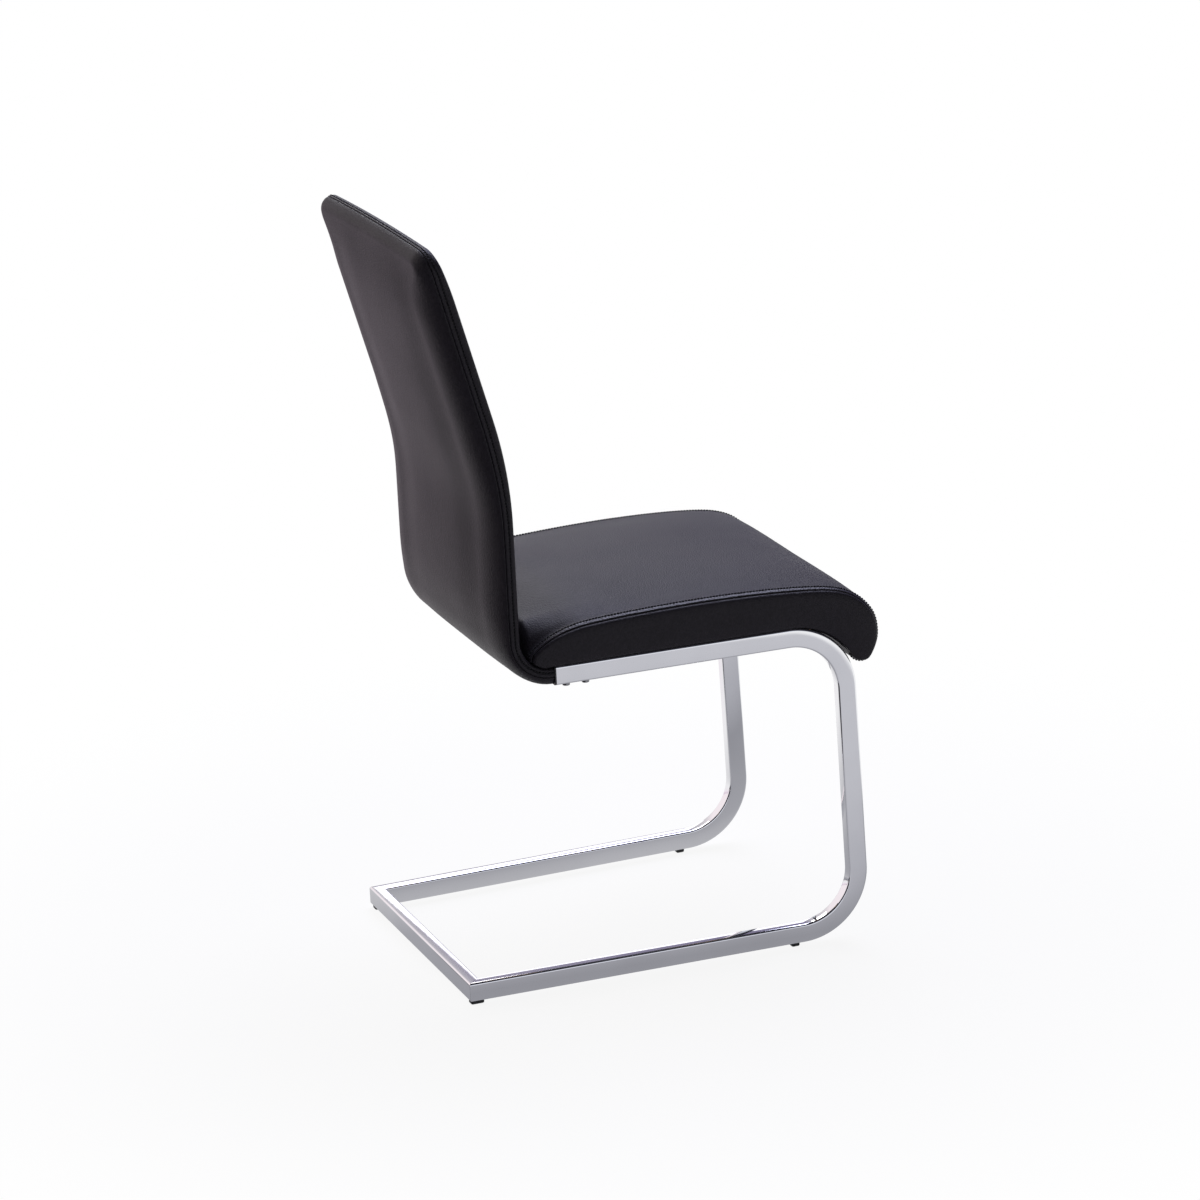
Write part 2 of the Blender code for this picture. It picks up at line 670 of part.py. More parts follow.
def bolt(name, x, y, seat_z, top_z, head_r, head_h):
    """Socket head bolt pointing up, its head under seat_z."""
    low = seat_z - head_h
    socket = low + head_h / 2
    edge = BOLT_EDGE
    profile = [(0, socket), (SOCKET_R, socket), (SOCKET_R, low), (head_r - edge, low), (head_r, low + edge),
               (head_r, seat_z), (BOLT_R, seat_z), (BOLT_R, top_z - edge), (BOLT_R - edge, top_z),
               (0, top_z)]
    return add_object(name, spin_mesh(x, y, profile), STEEL)


for i, (x, y) in enumerate(BACK_BOLTS):
    bolt("back_bolt_%d" % (i + 1), x, y, BOARD_LOW - GAP, BAR_TOP - GAP, BOLT_HEAD_R, BOLT_HEAD_H)

# Seat outline in the side view, from the rear underside over the top to the lip
HEEL_Y = BACK_FRONT_Y - HEEL_R
HEEL_Z = FOOT_Z + HEEL_R
TOE_R = HEEL_R - SEAT_TO_BACK
BASE_END_Y = min(HEEL_Y, RAIL_END_Y)
BASE_ANGLE = asin(min(1.0, (HEEL_Z - SEAT_BASE) / TOE_R))
LIP_C = Vector((LIP_Y, SEAT_BASE - LIP_R))


def lip_point(radius, angle):
    return LIP_C + Vector((-sin(angle), cos(angle))) * radius


def seat_outline(steps):
    toe = []
    for k in range(4):
        a = BASE_ANGLE + (TOE_ANGLE - BASE_ANGLE) * k / 3
        toe.append(Vector((HEEL_Y + TOE_R * cos(a), HEEL_Z - TOE_R * sin(a))))
    high = SEAT_BASE + SEAT_RISE
    low = SEAT_BASE - NOSE_DROP
    rear = toe[-1].x
    tip = low + NOSE_TIP
    lip = lip_point(LIP_R, LIP_ANGLE)
    guide = [toe[-1]]
    guide += [Vector((rear - y, high - z)) for y, z in REAR_CURVE]
    guide.append(Vector(((rear + NOSE_Y) / 2, high)))
    guide += [Vector((NOSE_Y + y, high - z)) for y, z in NOSE_CURVE]
    guide.append(Vector((NOSE_Y, tip)))
    guide += [Vector((NOSE_Y + y, low + z)) for y, z in CHIN_CURVE]
    guide += [lip - Vector(LIP_CURVE), lip]
    pts = toe[:-1]
    for i in range(len(guide) - 1):
        a = guide[max(0, i - 1)]
        b = guide[i]
        c = guide[i + 1]
        d = guide[min(len(guide) - 1, i + 2)]
        for k in range(steps):
            t = k / steps
            pts.append(0.5 * (2 * b + (c - a) * t + (2 * a - 5 * b + 4 * c - d) * t * t
                              + (3 * b - a - 3 * c + d) * t * t * t))
    pts.append(lip)
    return pts


def offset_line(pts, inward):
    """Move an outline towards its right-hand side, which is the inside of the seat."""
    out = []
    for i, p in enumerate(pts):
        d = (pts[min(len(pts) - 1, i + 1)] - pts[max(0, i - 1)]).normalized()
        out.append(p + Vector((-d.y, d.x)) * inward)
    return out


def seat_half(y):
    return half_width(y) - SEAT_INSET


def seat_swell(pts):
    """Crown of the middle at each outline point: none at toe and lip, full on top, less at the tip."""
    toe = max(range(len(pts)), key=lambda i: pts[i].x)
    tip = min(range(len(pts)), key=lambda i: pts[i].x)
    run = [0.0]
    for a, b in zip(pts, pts[1:]):
        run.append(run[-1] + (b - a).length)
    out = []
    for i in range(len(pts)):
        a = (run[i] - run[toe]) / (run[tip] - run[toe])
        b = (run[i] - run[tip]) / (run[-1] - run[tip])
        weight = smooth(0.02, 0.2, a) * (1 - 0.7 * smooth(0.6, 0.95, a)) * (1 - smooth(0.0, 0.6, b))
        d = (pts[min(len(pts) - 1, i + 1)] - pts[max(0, i - 1)]).normalized()
        out.append(Vector((d.y, -d.x)) * SEAT_CROWN * weight)
    return out


SEAT_LINE = seat_outline(3)
SEAT_SWELL = seat_swell(SEAT_LINE)
SEAT_COLUMNS = (-1.0, -0.93, -0.8, -0.6, -0.32, 0.0, 0.32, 0.6, 0.8, 0.93, 1.0)


def seat_rows(bm, line, side_inset):
    """Columns of vertices across the seat, each one an outline raised by the crown."""
    rows = []
    for c in SEAT_COLUMNS:
        lift = 1 - abs(c) ** 4
        rows.append([bm.verts.new((c * (seat_half(p.x) - side_inset), p.x + lift * q.x, p.y + lift * q.y))
                     for p, q in line])
    return rows


bm = bmesh.new()
outer = seat_rows(bm, list(zip(SEAT_LINE, SEAT_SWELL)), 0.0)
inner = seat_rows(bm, list(zip(offset_line(SEAT_LINE, COVER_T), SEAT_SWELL)), 0.0)
for rows in (outer, inner):
    for a, b in zip(rows, rows[1:]):
        bridge(bm, a, b, False)
for end in (0, -1):
    bridge(bm, outer[end], inner[end], False)
    bridge(bm, [row[end] for row in outer], [row[end] for row in inner], False)
add_object("seat_top_cover", bm, LEATHERETTE)

# Bent seat board on the rails
BOARD_END = LIP_ANGLE - radians(4)
BOARD_REAR_Y = BASE_END_Y - 0.010


def board_line(lift, end):
    pts = [Vector((BOARD_REAR_Y, SEAT_BASE + lift))]
    pts += [lip_point(LIP_R + lift, end * k / 8) for k in range(9)]
    return pts


bm = bmesh.new()
rows = []
for low, high in zip(board_line(0.0, BOARD_END), board_line(SEAT_BOARD_T, BOARD_END)):
    w = [seat_half(p.x) - COVER_T - 3 * GAP for p in (low, high)]
    rows.append([bm.verts.new(v) for v in ((-w[0], low.x, low.y), (w[0], low.x, low.y),
                                           (w[1], high.x, high.y), (-w[1], high.x, high.y))])
for a, b in zip(rows, rows[1:]):
    bridge(bm, a, b, True)
bm.faces.new(rows[0])
bm.faces.new(rows[-1])
seat_board = add_object("seat_board", bm, PLY)

# Seat foam between the board and the covers
skin_line = offset_line(SEAT_LINE, SKIN)
FOAM_END = BOARD_END + radians(1.2)
under = [lip_point(LIP_R + SEAT_BOARD_T / 2, FOAM_END)]
under += list(reversed(board_line(SEAT_BOARD_T + GAP, FOAM_END)))
under[-1].x += GAP
under.append(Vector((BOARD_REAR_Y + GAP, SEAT_BASE + SKIN)))
bm = bmesh.new()
line = list(zip(skin_line, SEAT_SWELL)) + [(p, Vector((0, 0))) for p in under]
rows = seat_rows(bm, line, COVER_T + GAP)
for a, b in zip(rows, rows[1:]):
    bridge(bm, a, b, True)
bm.faces.new(rows[0])
bm.faces.new(rows[-1])
split_ngons(bm)
add_object("seat_foam", bm, FOAM)

# Side panels: the boxing between the top cover and the rail
tip_index = min(range(len(skin_line)), key=lambda i: skin_line[i].x)
toe_index = max(range(len(skin_line)), key=lambda i: skin_line[i].x)
upper = list(reversed(skin_line[toe_index:tip_index + 1]))
base = board_line(0.0, BOARD_END - radians(3))
lower = skin_line[tip_index:] + list(reversed(base)) + skin_line[1:toe_index + 1]


def height_at(chain, y):
    for a, b in zip(chain, chain[1:]):
        if a.x <= y <= b.x and b.x > a.x:
            return a.y + (b.y - a.y) * (y - a.x) / (b.x - a.x)
    return chain[0].y if y < chain[0].x else chain[-1].y


PANEL_ROWS = (0.0, 0.15, 0.4, 0.7, 0.9, 1.0)
panel_ys = []
for y in sorted(p.x for p in upper + lower):
    if not panel_ys or y - panel_ys[-1] > 0.0005:
        panel_ys.append(y)
panel_ys[0] += 0.0006
panel_ys[-1] -= 0.0006
for side, hand in ((-1, "right"), (1, "left")):
    bm = bmesh.new()
    faces = []
    for off in (0.0, COVER_T):
        rows = []
        for y in panel_ys:
            top = height_at(upper, y)
            bottom = min(height_at(lower, y), top - 0.0005)
            swell = SIDE_BULGE * min(1.0, (top - bottom) / PANEL_FULL)
            rows.append([bm.verts.new((side * (seat_half(y) + swell * (1 - (2 * v - 1) ** 4) - off), y,
                                       bottom + (top - bottom) * v)) for v in PANEL_ROWS])
        for a, b in zip(rows, rows[1:]):
            bridge(bm, a, b, False)
        faces.append(rows)
    for end in (0, -1):
        bridge(bm, faces[0][end], faces[1][end], False)
        bridge(bm, [row[end] for row in faces[0]], [row[end] for row in faces[1]], False)
    add_object("seat_side_panel_" + hand, bm, LEATHERETTE)

# Bolts through the rails and screws inside them, each in a threaded insert in the seat board
bm = bmesh.new()
for side, hand in ((-1, "right"), (1, "left")):
    for k, back in enumerate(REAR_BOLTS + HIDDEN_SCREWS):
        y = RAIL_END_Y - back
        x = bolt_x(side, y)
        end = SEAT_BASE + SEAT_BOARD_T - 2 * GAP
        label = "%s_%d" % (hand, k + 1)
        if back in REAR_BOLTS:
            under_rail = RAIL_LOW - GAP
            bolt("seat_bolt_" + label, x, y, under_rail, end - GAP, BOLT_HEAD_R, BOLT_HEAD_H)
        else:
            in_rail = RAIL_TOP - TUBE_WALL - GAP
            bolt("seat_screw_" + label, x, y, in_rail, end - GAP, SCREW_HEAD_R, SCREW_HEAD_H)
        add_cylinder(bm, x, y, SEAT_BASE - 0.01, SEAT_BASE + SEAT_BOARD_T + 0.01, INSERT_R + GAP)
        ring = bmesh.new()
        rows = []
        angles = [2 * pi * n / 12 for n in range(12)]
        bore = BOLT_R + GAP
        for r, z in ((INSERT_R, SEAT_BASE), (INSERT_R, end), (bore, end), (bore, SEAT_BASE)):
            rows.append([ring.verts.new((x + r * cos(a), y + r * sin(a), z)) for a in angles])
        for a, b in zip(rows, rows[1:] + rows[:1]):
            bridge(ring, a, b, True)
        add_object("seat_insert_" + label, ring, ZINC)
cut(seat_board, add_object("cutter_inserts", bm, None))

# Dust cover on the underside of the seat board
corners = []
dust_front = LIP_Y + DUST_INSET
dust_rear = BOARD_REAR_Y - DUST_INSET
for sign, y in ((-1, dust_front), (1, dust_front), (1, dust_rear), (-1, dust_rear)):
    corners.append((sign * (half_width(y) - TUBE_W - DUST_INSET / 2), y))
add_object("seat_dust_cover", prism_mesh(corners, RAIL_TOP - DUST_T, RAIL_TOP), LINING)

# Centre the chair front to back on its own size
bpy.context.view_layer.update()
shown = [ob for ob in bpy.context.scene.objects if not ob.hide_render]
ys = [v.co.y for ob in shown for v in ob.data.vertices]
for ob in bpy.context.scene.objects:
    ob.location.y -= (min(ys) + max(ys)) / 2
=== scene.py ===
from bisect import bisect_right
from math import asin, cos, exp, radians, sin, tanh

import bmesh
import bpy
from mathutils import Matrix, Vector


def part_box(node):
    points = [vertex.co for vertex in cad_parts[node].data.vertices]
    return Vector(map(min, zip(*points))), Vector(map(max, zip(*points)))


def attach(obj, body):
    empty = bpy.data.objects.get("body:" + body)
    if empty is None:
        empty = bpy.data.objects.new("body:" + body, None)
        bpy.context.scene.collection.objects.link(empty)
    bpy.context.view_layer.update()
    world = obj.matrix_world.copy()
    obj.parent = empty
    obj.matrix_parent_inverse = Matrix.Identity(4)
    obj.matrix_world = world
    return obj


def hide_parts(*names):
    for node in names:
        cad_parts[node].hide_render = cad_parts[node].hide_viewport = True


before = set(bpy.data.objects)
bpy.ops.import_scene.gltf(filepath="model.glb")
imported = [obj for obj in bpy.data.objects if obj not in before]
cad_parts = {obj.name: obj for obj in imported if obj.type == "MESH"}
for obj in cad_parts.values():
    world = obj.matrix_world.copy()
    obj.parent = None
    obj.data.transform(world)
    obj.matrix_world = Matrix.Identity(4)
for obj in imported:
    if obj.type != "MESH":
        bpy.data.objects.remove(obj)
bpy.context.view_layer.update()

# The solids' side view: Y and Z in metres, with the rear face of the floor frame at REAR_FACE_Y
REAR_FACE_Y = 0.25
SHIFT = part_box("floor_cross_tube")[1].y - REAR_FACE_Y

# Steel frame
TUBE_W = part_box("floor_cross_tube")[1].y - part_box("floor_cross_tube")[0].y
TUBE_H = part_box("floor_cross_tube")[1].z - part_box("floor_cross_tube")[0].z
RUN_Z = (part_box("floor_cross_tube")[1].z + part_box("floor_cross_tube")[0].z) / 2
RAIL_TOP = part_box("side_tube_right")[1].z
RAIL_Z = RAIL_TOP - TUBE_H / 2
RAIL_END_Y = 0.112
FRAME_WIDTH = 0.3976
FRAME_SPLAY = 0.0204
LEG_FOOT_Y = -0.2924
LEG_RAKE = 0.028
TUBE_WALL = 0.0015
TUBE_EDGE = 0.003
BEND_R = 0.078
GAP = 0.0003

# Seat
SEAT_BASE = RAIL_TOP + GAP
SEAT_RISE = 0.0545
SEAT_CROWN = 0.010
REAR_FILL = 0.85           # share of the height lost by the seam at the rear that the cover keeps
FILL_START = 0.0107        # it is made up between these distances from the seam
FILL_END = 0.050
FILL_EASE = 0.2            # gently over this first share of the way, then steeply
FILL_POWER = 1.7
FILL_RUN = 0.016           # length above the toe over which the making up starts
FILL_FADE = (0.25, 0.5)    # shares of the way to the nose between which it ends
SEAT_INSET = 0.0020
SIDE_BULGE = 0.0036
NOSE_Y = LEG_FOOT_Y - 0.0370
NOSE_DROP = 0.0585
NOSE_TIP = 0.0336
LIP_R = 0.100
LIP_ANGLE = radians(56)
LIP_Y = LEG_FOOT_Y + BEND_R + 0.0064
TOE_ANGLE = radians(46)
WRAP_END = radians(20)     # the seat's cover goes on this far round the inside of the lip
WRAP_ROWS = 16
WRAP_IN = 0.0016           # it lies this much inside the lip there, and is narrower
WRAP_IN_RUN = 0.25
WRAP_NARROW = 0.0042
WRAP_NARROW_RUN = 0.12

# Back
BACK_START_Y = RAIL_END_Y + 0.0024
BACK_FRONT_Y = RAIL_END_Y + 0.0452
BACK_INSET = 0.001
BACK_TOP = 0.9870
BACK_KINK_Z = 0.695
RECLINE = radians(14.9)
RECLINE_R = 0.545
FOOT_Z = RAIL_TOP - 0.0025
HEEL_R = BACK_FRONT_Y - BACK_START_Y - 0.0024
BACK_CORNER_R = 0.028
SEAM_DEPTH = 0.0135
REAR_ROLL = 0.0108
REAR_BELLY = 0.0053
RECLINE_BELLY = 0.0015
BELLY_START = 0.030
BELLY_END = 0.050
REAR_ROLL_W = 0.058
FOOT_ROLL_W = 0.012
TOP_ROLL_W = 0.014
TOP_NARROW_L = 0.070
TOP_TAPER = 0.32
TOP_TAPER_L = 0.090
TOP_BOW = 0.0055
BOW_FALL = 0.75
BOW_L = 0.250
ROLL_POWER = 1.5
REAR_CROWN = 0.0034
BACK_SWELL = 0.24
TOP_EASE = 0.006
TOP_EASE_L = 0.075
FRONT_CROWN = 0.004
FRONT_EDGE_R = 0.005
FOOT_SCALE = 0.80
FOOT_DROP = 0.0034         # the rear cover sags level with the underside of the rails

# Sewing
COVER_T = 0.0012
TUCK = 0.0032              # depth to which a panel's edge turns into its seam
TUCK_R = 0.0016            # rounding of that edge
STITCH_BACK = 0.0064       # topstitch beside the back's seam
SEAT_TUCK_R = 0.0013       # the same at the seat's corner seam
BOXING_TUCK_R = 0.0022     # and on the side panel's edge
SEAT_STITCH = 0.0075       # topstitch beside the seat's seam
STITCH_PITCH = 0.0042
STITCH_LENGTH = 0.0030
THREAD_R = 0.0010
GROOVE = 0.0004            # depth of the crease that the topstitch pulls in
STRIP_RISE = 0.0008        # the folded seam allowance lifts the strip beside the seam
EDGE_PUFF = 0.0009         # the seat's padding rises this much beside its seam

# Padding
PRESSURE = 4
CLOTH_FRAMES = 20
CLOTH_QUALITY = 6
CLOTH_MASS = 0.3
CLOTH_TENSION = 40
CLOTH_SHEAR = 20
CLOTH_BENDING = 4
CLOTH_CAP = 0.003          # the rise stays under this height
CLOTH_EASE = 40            # and is averaged with its surroundings this often
FRONT_FADE = 0.2           # share of the back's front panel over which it dies out
REAR_FADE = 0.25           # and of the rear panel


def half_width(y):
    """Outer face of the side tubes at this depth."""
    return FRAME_WIDTH / 2 + FRAME_SPLAY * (REAR_FACE_Y - y)


def smooth(a, b, v):
    t = min(1.0, max(0.0, (v - a) / (b - a)))
    return t * t * (3 - 2 * t)


def chain_run(chain):
    """Distance along a chain of points at each of them."""
    run = [0.0]
    for a, b in zip(chain, chain[1:]):
        run.append(run[-1] + (b - a).length)
    return run


def segment(run, distance):
    """Number of the chain's segment at this distance."""
    return min(max(bisect_right(run, distance) - 1, 0), len(run) - 2)


def fillet_path(corners, radii, steps):
    """Polyline through 2D corners with each inner corner rounded."""
    pts = [Vector(corners[0])]
    for i in range(1, len(corners) - 1):
        p = Vector(corners[i])
        u = (Vector(corners[i - 1]) - p).normalized()
        v = (Vector(corners[i + 1]) - p).normalized()
        half = u.angle(v) / 2
        reach = radii[i - 1] * cos(half) / sin(half)
        centre = p + (u + v).normalized() * (radii[i - 1] / sin(half))
        start = p + u * reach - centre
        turn = start.angle_signed(p + v * reach - centre)
        for k in range(steps + 1):
            a = -turn * k / steps
            turned = (start.x * cos(a) - start.y * sin(a), start.x * sin(a) + start.y * cos(a))
            pts.append(centre + Vector(turned))
    pts.append(Vector(corners[-1]))
    return pts


def rounded_rect(w, h, r, steps):
    pts = []
    for cx, cy, a0 in ((1, 1, 0), (-1, 1, 90), (-1, -1, 180), (1, -1, 270)):
        for k in range(steps + 1):
            a = radians(a0 + 90 * k / steps)
            pts.append((cx * (w / 2 - r) + r * cos(a), cy * (h / 2 - r) + r * sin(a)))
    return pts


def bridge(faces, a, b, closed):
    """Quads between two rows of vertex numbers."""
    n = len(a)
    for i in range(n if closed else n - 1):
        j = (i + 1) % n
        faces.append((a[i], a[j], b[j], b[i]))


class Builder:
    """Collects vertices and faces in the side view's frame and makes one object of them."""

    def __init__(self):
        self.points = []
        self.faces = []

    def add(self, points):
        first = len(self.points)
        self.points += [Vector(p) for p in points]
        return list(range(first, len(self.points)))

    def rows(self, rows, closed=False):
        made = [self.add(row) for row in rows]
        for a, b in zip(made, made[1:]):
            bridge(self.faces, a, b, closed)
        return made

    def capped(self, rings):
        """Closed solid through a stack of rings."""
        made = self.rows(rings, closed=True)
        self.faces.append(tuple(reversed(made[0])))
        self.faces.append(tuple(made[-1]))

    def object(self, name, material):
        mesh = bpy.data.meshes.new(name)
        moved = [(p.x, p.y + SHIFT, p.z) for p in self.points]
        mesh.from_pydata(moved, [], self.faces)
        bm = bmesh.new()
        bm.from_mesh(mesh)
        bmesh.ops.recalc_face_normals(bm, faces=bm.faces)
        bm.to_mesh(mesh)
        bm.free()
        mesh.shade_smooth()
        ob = bpy.data.objects.new(name, mesh)
        bpy.context.scene.collection.objects.link(ob)
        mesh.materials.append(material)
        return ob


def thicken(ob):
    """Give a sheet the covers' thickness, inward."""
    thick = ob.modifiers.new("thickness", "SOLIDIFY")
    thick.thickness = COVER_T
    thick.offset = -1


def finish_piece(ob, nodes):
    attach(ob, "root")
    if nodes:
        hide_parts(*nodes)
    return ob


# Materials

def new_material(name):
    mat = bpy.data.materials.new(name)
    mat.use_nodes = True
    tree = mat.node_tree
    return mat, tree, tree.nodes["Principled BSDF"]


def add_node(tree, kind, *sources, **values):
    """New node with these values. Its inputs, in order, take the sources: outputs or values."""
    node = tree.nodes.new(kind)
    for key, value in values.items():
        if key in node.inputs:
            node.inputs[key].default_value = value
        else:
            setattr(node, key, value)
    for socket, source in zip(node.inputs, sources):
        if isinstance(source, (float, tuple)):
            socket.default_value = source
        else:
            tree.links.new(source, socket)
    return node


def noise(tree, coords, scale, detail, **values):
    node = add_node(tree, "ShaderNodeTexNoise", coords, Scale=scale, Detail=detail, **values)
    return node.outputs["Fac"]


def value_range(tree, source, span, to=(0.0, 1.0), kind="SMOOTHSTEP"):
    """A value between the ends of span carried to the range to."""
    node = add_node(tree, "ShaderNodeMapRange", source, *span, *to, interpolation_type=kind)
    return node.outputs["Result"]


def ramp(tree, source, stops):
    """Colour between the stops at the place that a value gives."""
    node = add_node(tree, "ShaderNodeValToRGB", source)
    elements = node.color_ramp.elements
    while len(elements) < len(stops):
        elements.new(0.5)
    for element, (place, color) in zip(elements, stops):
        element.position = place
        element.color = (*color, 1.0)
    return node.outputs["Color"]


def dress(tree, shader, color, rough, bumps):
    """Base colour, roughness and relief that follow noises."""
    links = tree.links
    links.new(ramp(tree, *color), shader.inputs["Base Color"])
    source, limits = rough
    links.new(value_range(tree, source, (0.0, 1.0), limits, "LINEAR"), shader.inputs["Roughness"])
    normal = None
    for source, strength, distance in bumps:
        node = add_node(tree, "ShaderNodeBump", Strength=strength, Distance=distance)
        links.new(source, node.inputs["Height"])
        if normal:
            links.new(normal, node.inputs["Normal"])
        normal = node.outputs["Normal"]
    links.new(normal, shader.inputs["Normal"])


def leatherette(name, rough, specular):
    """Coated fabric with pebbled cells, pores and a little unevenness of colour and gloss."""
    mat, tree, shader = new_material(name)
    coords = tree.nodes.new("ShaderNodeTexCoord").outputs["Object"]
    cells = add_node(tree, "ShaderNodeTexVoronoi", coords, Scale=480.0, Randomness=0.9)
    fine = noise(tree, coords, 2600.0, 2.0)
    broad = noise(tree, coords, 9.0, 3.0)
    mottle = noise(tree, coords, 210.0, 4.0, Roughness=0.7)
    dress(tree, shader,
          (mottle, [(0.3, (0.0135, 0.0116, 0.0142)), (0.7, (0.0222, 0.0193, 0.0236))]),
          (broad, rough),
          [(cells.outputs["Distance"], 0.7, 0.0005), (fine, 0.25, 0.0001)])
    shader.inputs["Specular IOR Level"].default_value = specular
    return mat


def chrome():
    """Polished plate with faint haze and a slight waviness from polishing."""
    mat, tree, shader = new_material("chrome")
    coords = tree.nodes.new("ShaderNodeTexCoord").outputs["Object"]
    haze = noise(tree, coords, 14.0, 4.0)
    wave = noise(tree, coords, 55.0, 1.0)
    dress(tree, shader,
          (haze, [(0.3, (0.84, 0.845, 0.86)), (0.7, (0.89, 0.895, 0.91))]),
          (haze, (0.03, 0.085)),
          [(wave, 0.06, 0.0004)])
    shader.inputs["Metallic"].default_value = 1.0
    return mat


def grained(name, dark, light, rough, scale, strength, distance, metallic=0.0):
    """Plain moulded, coated or plated surface with a fine grain."""
    mat, tree, shader = new_material(name)
    coords = tree.nodes.new("ShaderNodeTexCoord").outputs["Object"]
    grain = noise(tree, coords, scale, 3.0)
    dress(tree, shader, (grain, [(0.35, dark), (0.65, light)]), (grain, rough),
          [(grain, strength, distance)])
    shader.inputs["Metallic"].default_value = metallic
    return mat


def plywood():
    """Veneer with long grain."""
    mat, tree, shader = new_material("plywood")
    coords = tree.nodes.new("ShaderNodeTexCoord").outputs["Object"]
    stretch = add_node(tree, "ShaderNodeMapping", coords, Scale=(60.0, 4.0, 260.0))
    grain = noise(tree, stretch.outputs["Vector"], 1.0, 6.0, Distortion=0.6)
    dress(tree, shader,
          (grain, [(0.3, (0.30, 0.19, 0.095)), (0.7, (0.52, 0.37, 0.21))]),
          (grain, (0.5, 0.7)),
          [(grain, 0.15, 0.0003)])
    return mat


LEATHERETTE = leatherette("leatherette", (0.40, 0.50), 0.18)
STRETCHED = leatherette("leatherette_stretched", (0.26, 0.34), 0.4)
CHROME = chrome()
PLASTIC = grained("black_plastic", (0.010, 0.010, 0.011), (0.018, 0.018, 0.019),
                  (0.38, 0.5), 700, 0.2, 0.0002)
COATED = grained("black_coating", (0.012, 0.012, 0.013), (0.022, 0.022, 0.023),
                 (0.4, 0.55), 1400, 0.3, 0.0001)
PLATED = grained("dark_plate", (0.27, 0.27, 0.28), (0.33, 0.33, 0.34),
                 (0.15, 0.3), 600, 0.1, 0.0001, 1.0)
ZINC = grained("zinc", (0.50, 0.50, 0.48), (0.60, 0.60, 0.58),
               (0.25, 0.45), 500, 0.1, 0.0001, 1.0)
LINING = grained("lining", (0.006, 0.006, 0.006), (0.02, 0.02, 0.02),
                 (0.85, 0.95), 1800, 0.6, 0.0003)
# Black thread, darker than the cover: its own colour, with painted shade of the stitch holes added
THREAD_WITH_PAINTED_SHADE = grained("thread", (0.003, 0.003, 0.004), (0.006, 0.006, 0.008),
                 (0.85, 0.95), 3000, 0.4, 0.0001)
PLYWOOD = plywood()


# Steel frame: the same tubes with fine bends and edges

BEND_STEPS = 48
EDGE_STEPS = 6
MITRE_GAP = 1.5 * GAP
SHARP_ANGLE = radians(35)
LEG_TOP_Y = LEG_FOOT_Y + LEG_RAKE * (RAIL_Z - RUN_Z)
TUBE_PATH = fillet_path(
    [(RAIL_END_Y, RAIL_Z), (LEG_TOP_Y, RAIL_Z), (LEG_FOOT_Y, RUN_Z), (REAR_FACE_Y, RUN_Z)],
    [BEND_R, BEND_R], BEND_STEPS)
SECTION_OUT = rounded_rect(TUBE_W, TUBE_H, TUBE_EDGE, EDGE_STEPS)
SECTION_IN = rounded_rect(TUBE_W - 2 * TUBE_WALL, TUBE_H - 2 * TUBE_WALL, TUBE_EDGE - TUBE_WALL,
                          EDGE_STEPS)


def tube_ring(side, index, section):
    """Section of a side tube across its path, mitred at the rear end."""
    p = TUBE_PATH[index]
    before = TUBE_PATH[max(0, index - 1)]
    after = TUBE_PATH[min(len(TUBE_PATH) - 1, index + 1)]
    t = ((p - before).normalized() + (after - p).normalized()).normalized()
    ring = []
    for lx, ln in section:
        y = p.x + t.y * ln
        z = p.y - t.x * ln
        if index == len(TUBE_PATH) - 1:
            y = REAR_FACE_Y - (TUBE_W / 2 - lx)
        ring.append((side * (half_width(y) - TUBE_W / 2 + lx), y, z))
    return ring


def hollow(builder, outside, inside):
    """Open-ended tube from matching outer and inner rings."""
    outer = builder.rows(outside, closed=True)
    inner = builder.rows(inside, closed=True)
    for end in (0, -1):
        bridge(builder.faces, outer[end], inner[end], True)


def crisp(ob):
    ob.data.set_sharp_from_angle(angle=SHARP_ANGLE)
    return ob


for side, hand in ((-1, "right"), (1, "left")):
    tube = Builder()
    stations = range(len(TUBE_PATH))
    hollow(tube, [tube_ring(side, i, SECTION_OUT) for i in stations],
           [tube_ring(side, i, SECTION_IN) for i in stations])
    piece = crisp(tube.object("polished_side_tube_" + hand, CHROME))
    finish_piece(piece, ["side_tube_" + hand])

cross = Builder()
ends = [[], []]
for sign in (-1, 1):
    for group, section in enumerate((SECTION_OUT, SECTION_IN)):
        ring = []
        for a, b in section:
            y = REAR_FACE_Y - TUBE_W / 2 + a
            x = half_width(y) - (REAR_FACE_Y - y) - MITRE_GAP
            ring.append((sign * x, y, RUN_Z + b))
        ends[group].append(ring)
hollow(cross, ends[0], ends[1])
piece = crisp(cross.object("polished_cross_tube", CHROME))
finish_piece(piece, ["floor_cross_tube"])


# Back: the front face follows a path from the foot under the seat to the top edge

PATH_STEPS = 60
TOP_Y = BACK_FRONT_Y + (BACK_TOP - BACK_KINK_Z) * sin(RECLINE) / cos(RECLINE)
BACK_PATH = fillet_path(
    [(BACK_START_Y, FOOT_Z), (BACK_FRONT_Y, FOOT_Z), (BACK_FRONT_Y, BACK_KINK_Z),
     (TOP_Y, BACK_TOP)],
    [HEEL_R, RECLINE_R], PATH_STEPS)
BACK_S = chain_run(BACK_PATH)
HEEL_START = BACK_S[1]
HEEL_END = BACK_S[PATH_STEPS + 1]
KINK_START = BACK_S[PATH_STEPS + 2]
KINK_END = BACK_S[2 * PATH_STEPS + 2]
TOP_S = BACK_S[-1]
BACK_HALF = half_width(RAIL_END_Y) - BACK_INSET


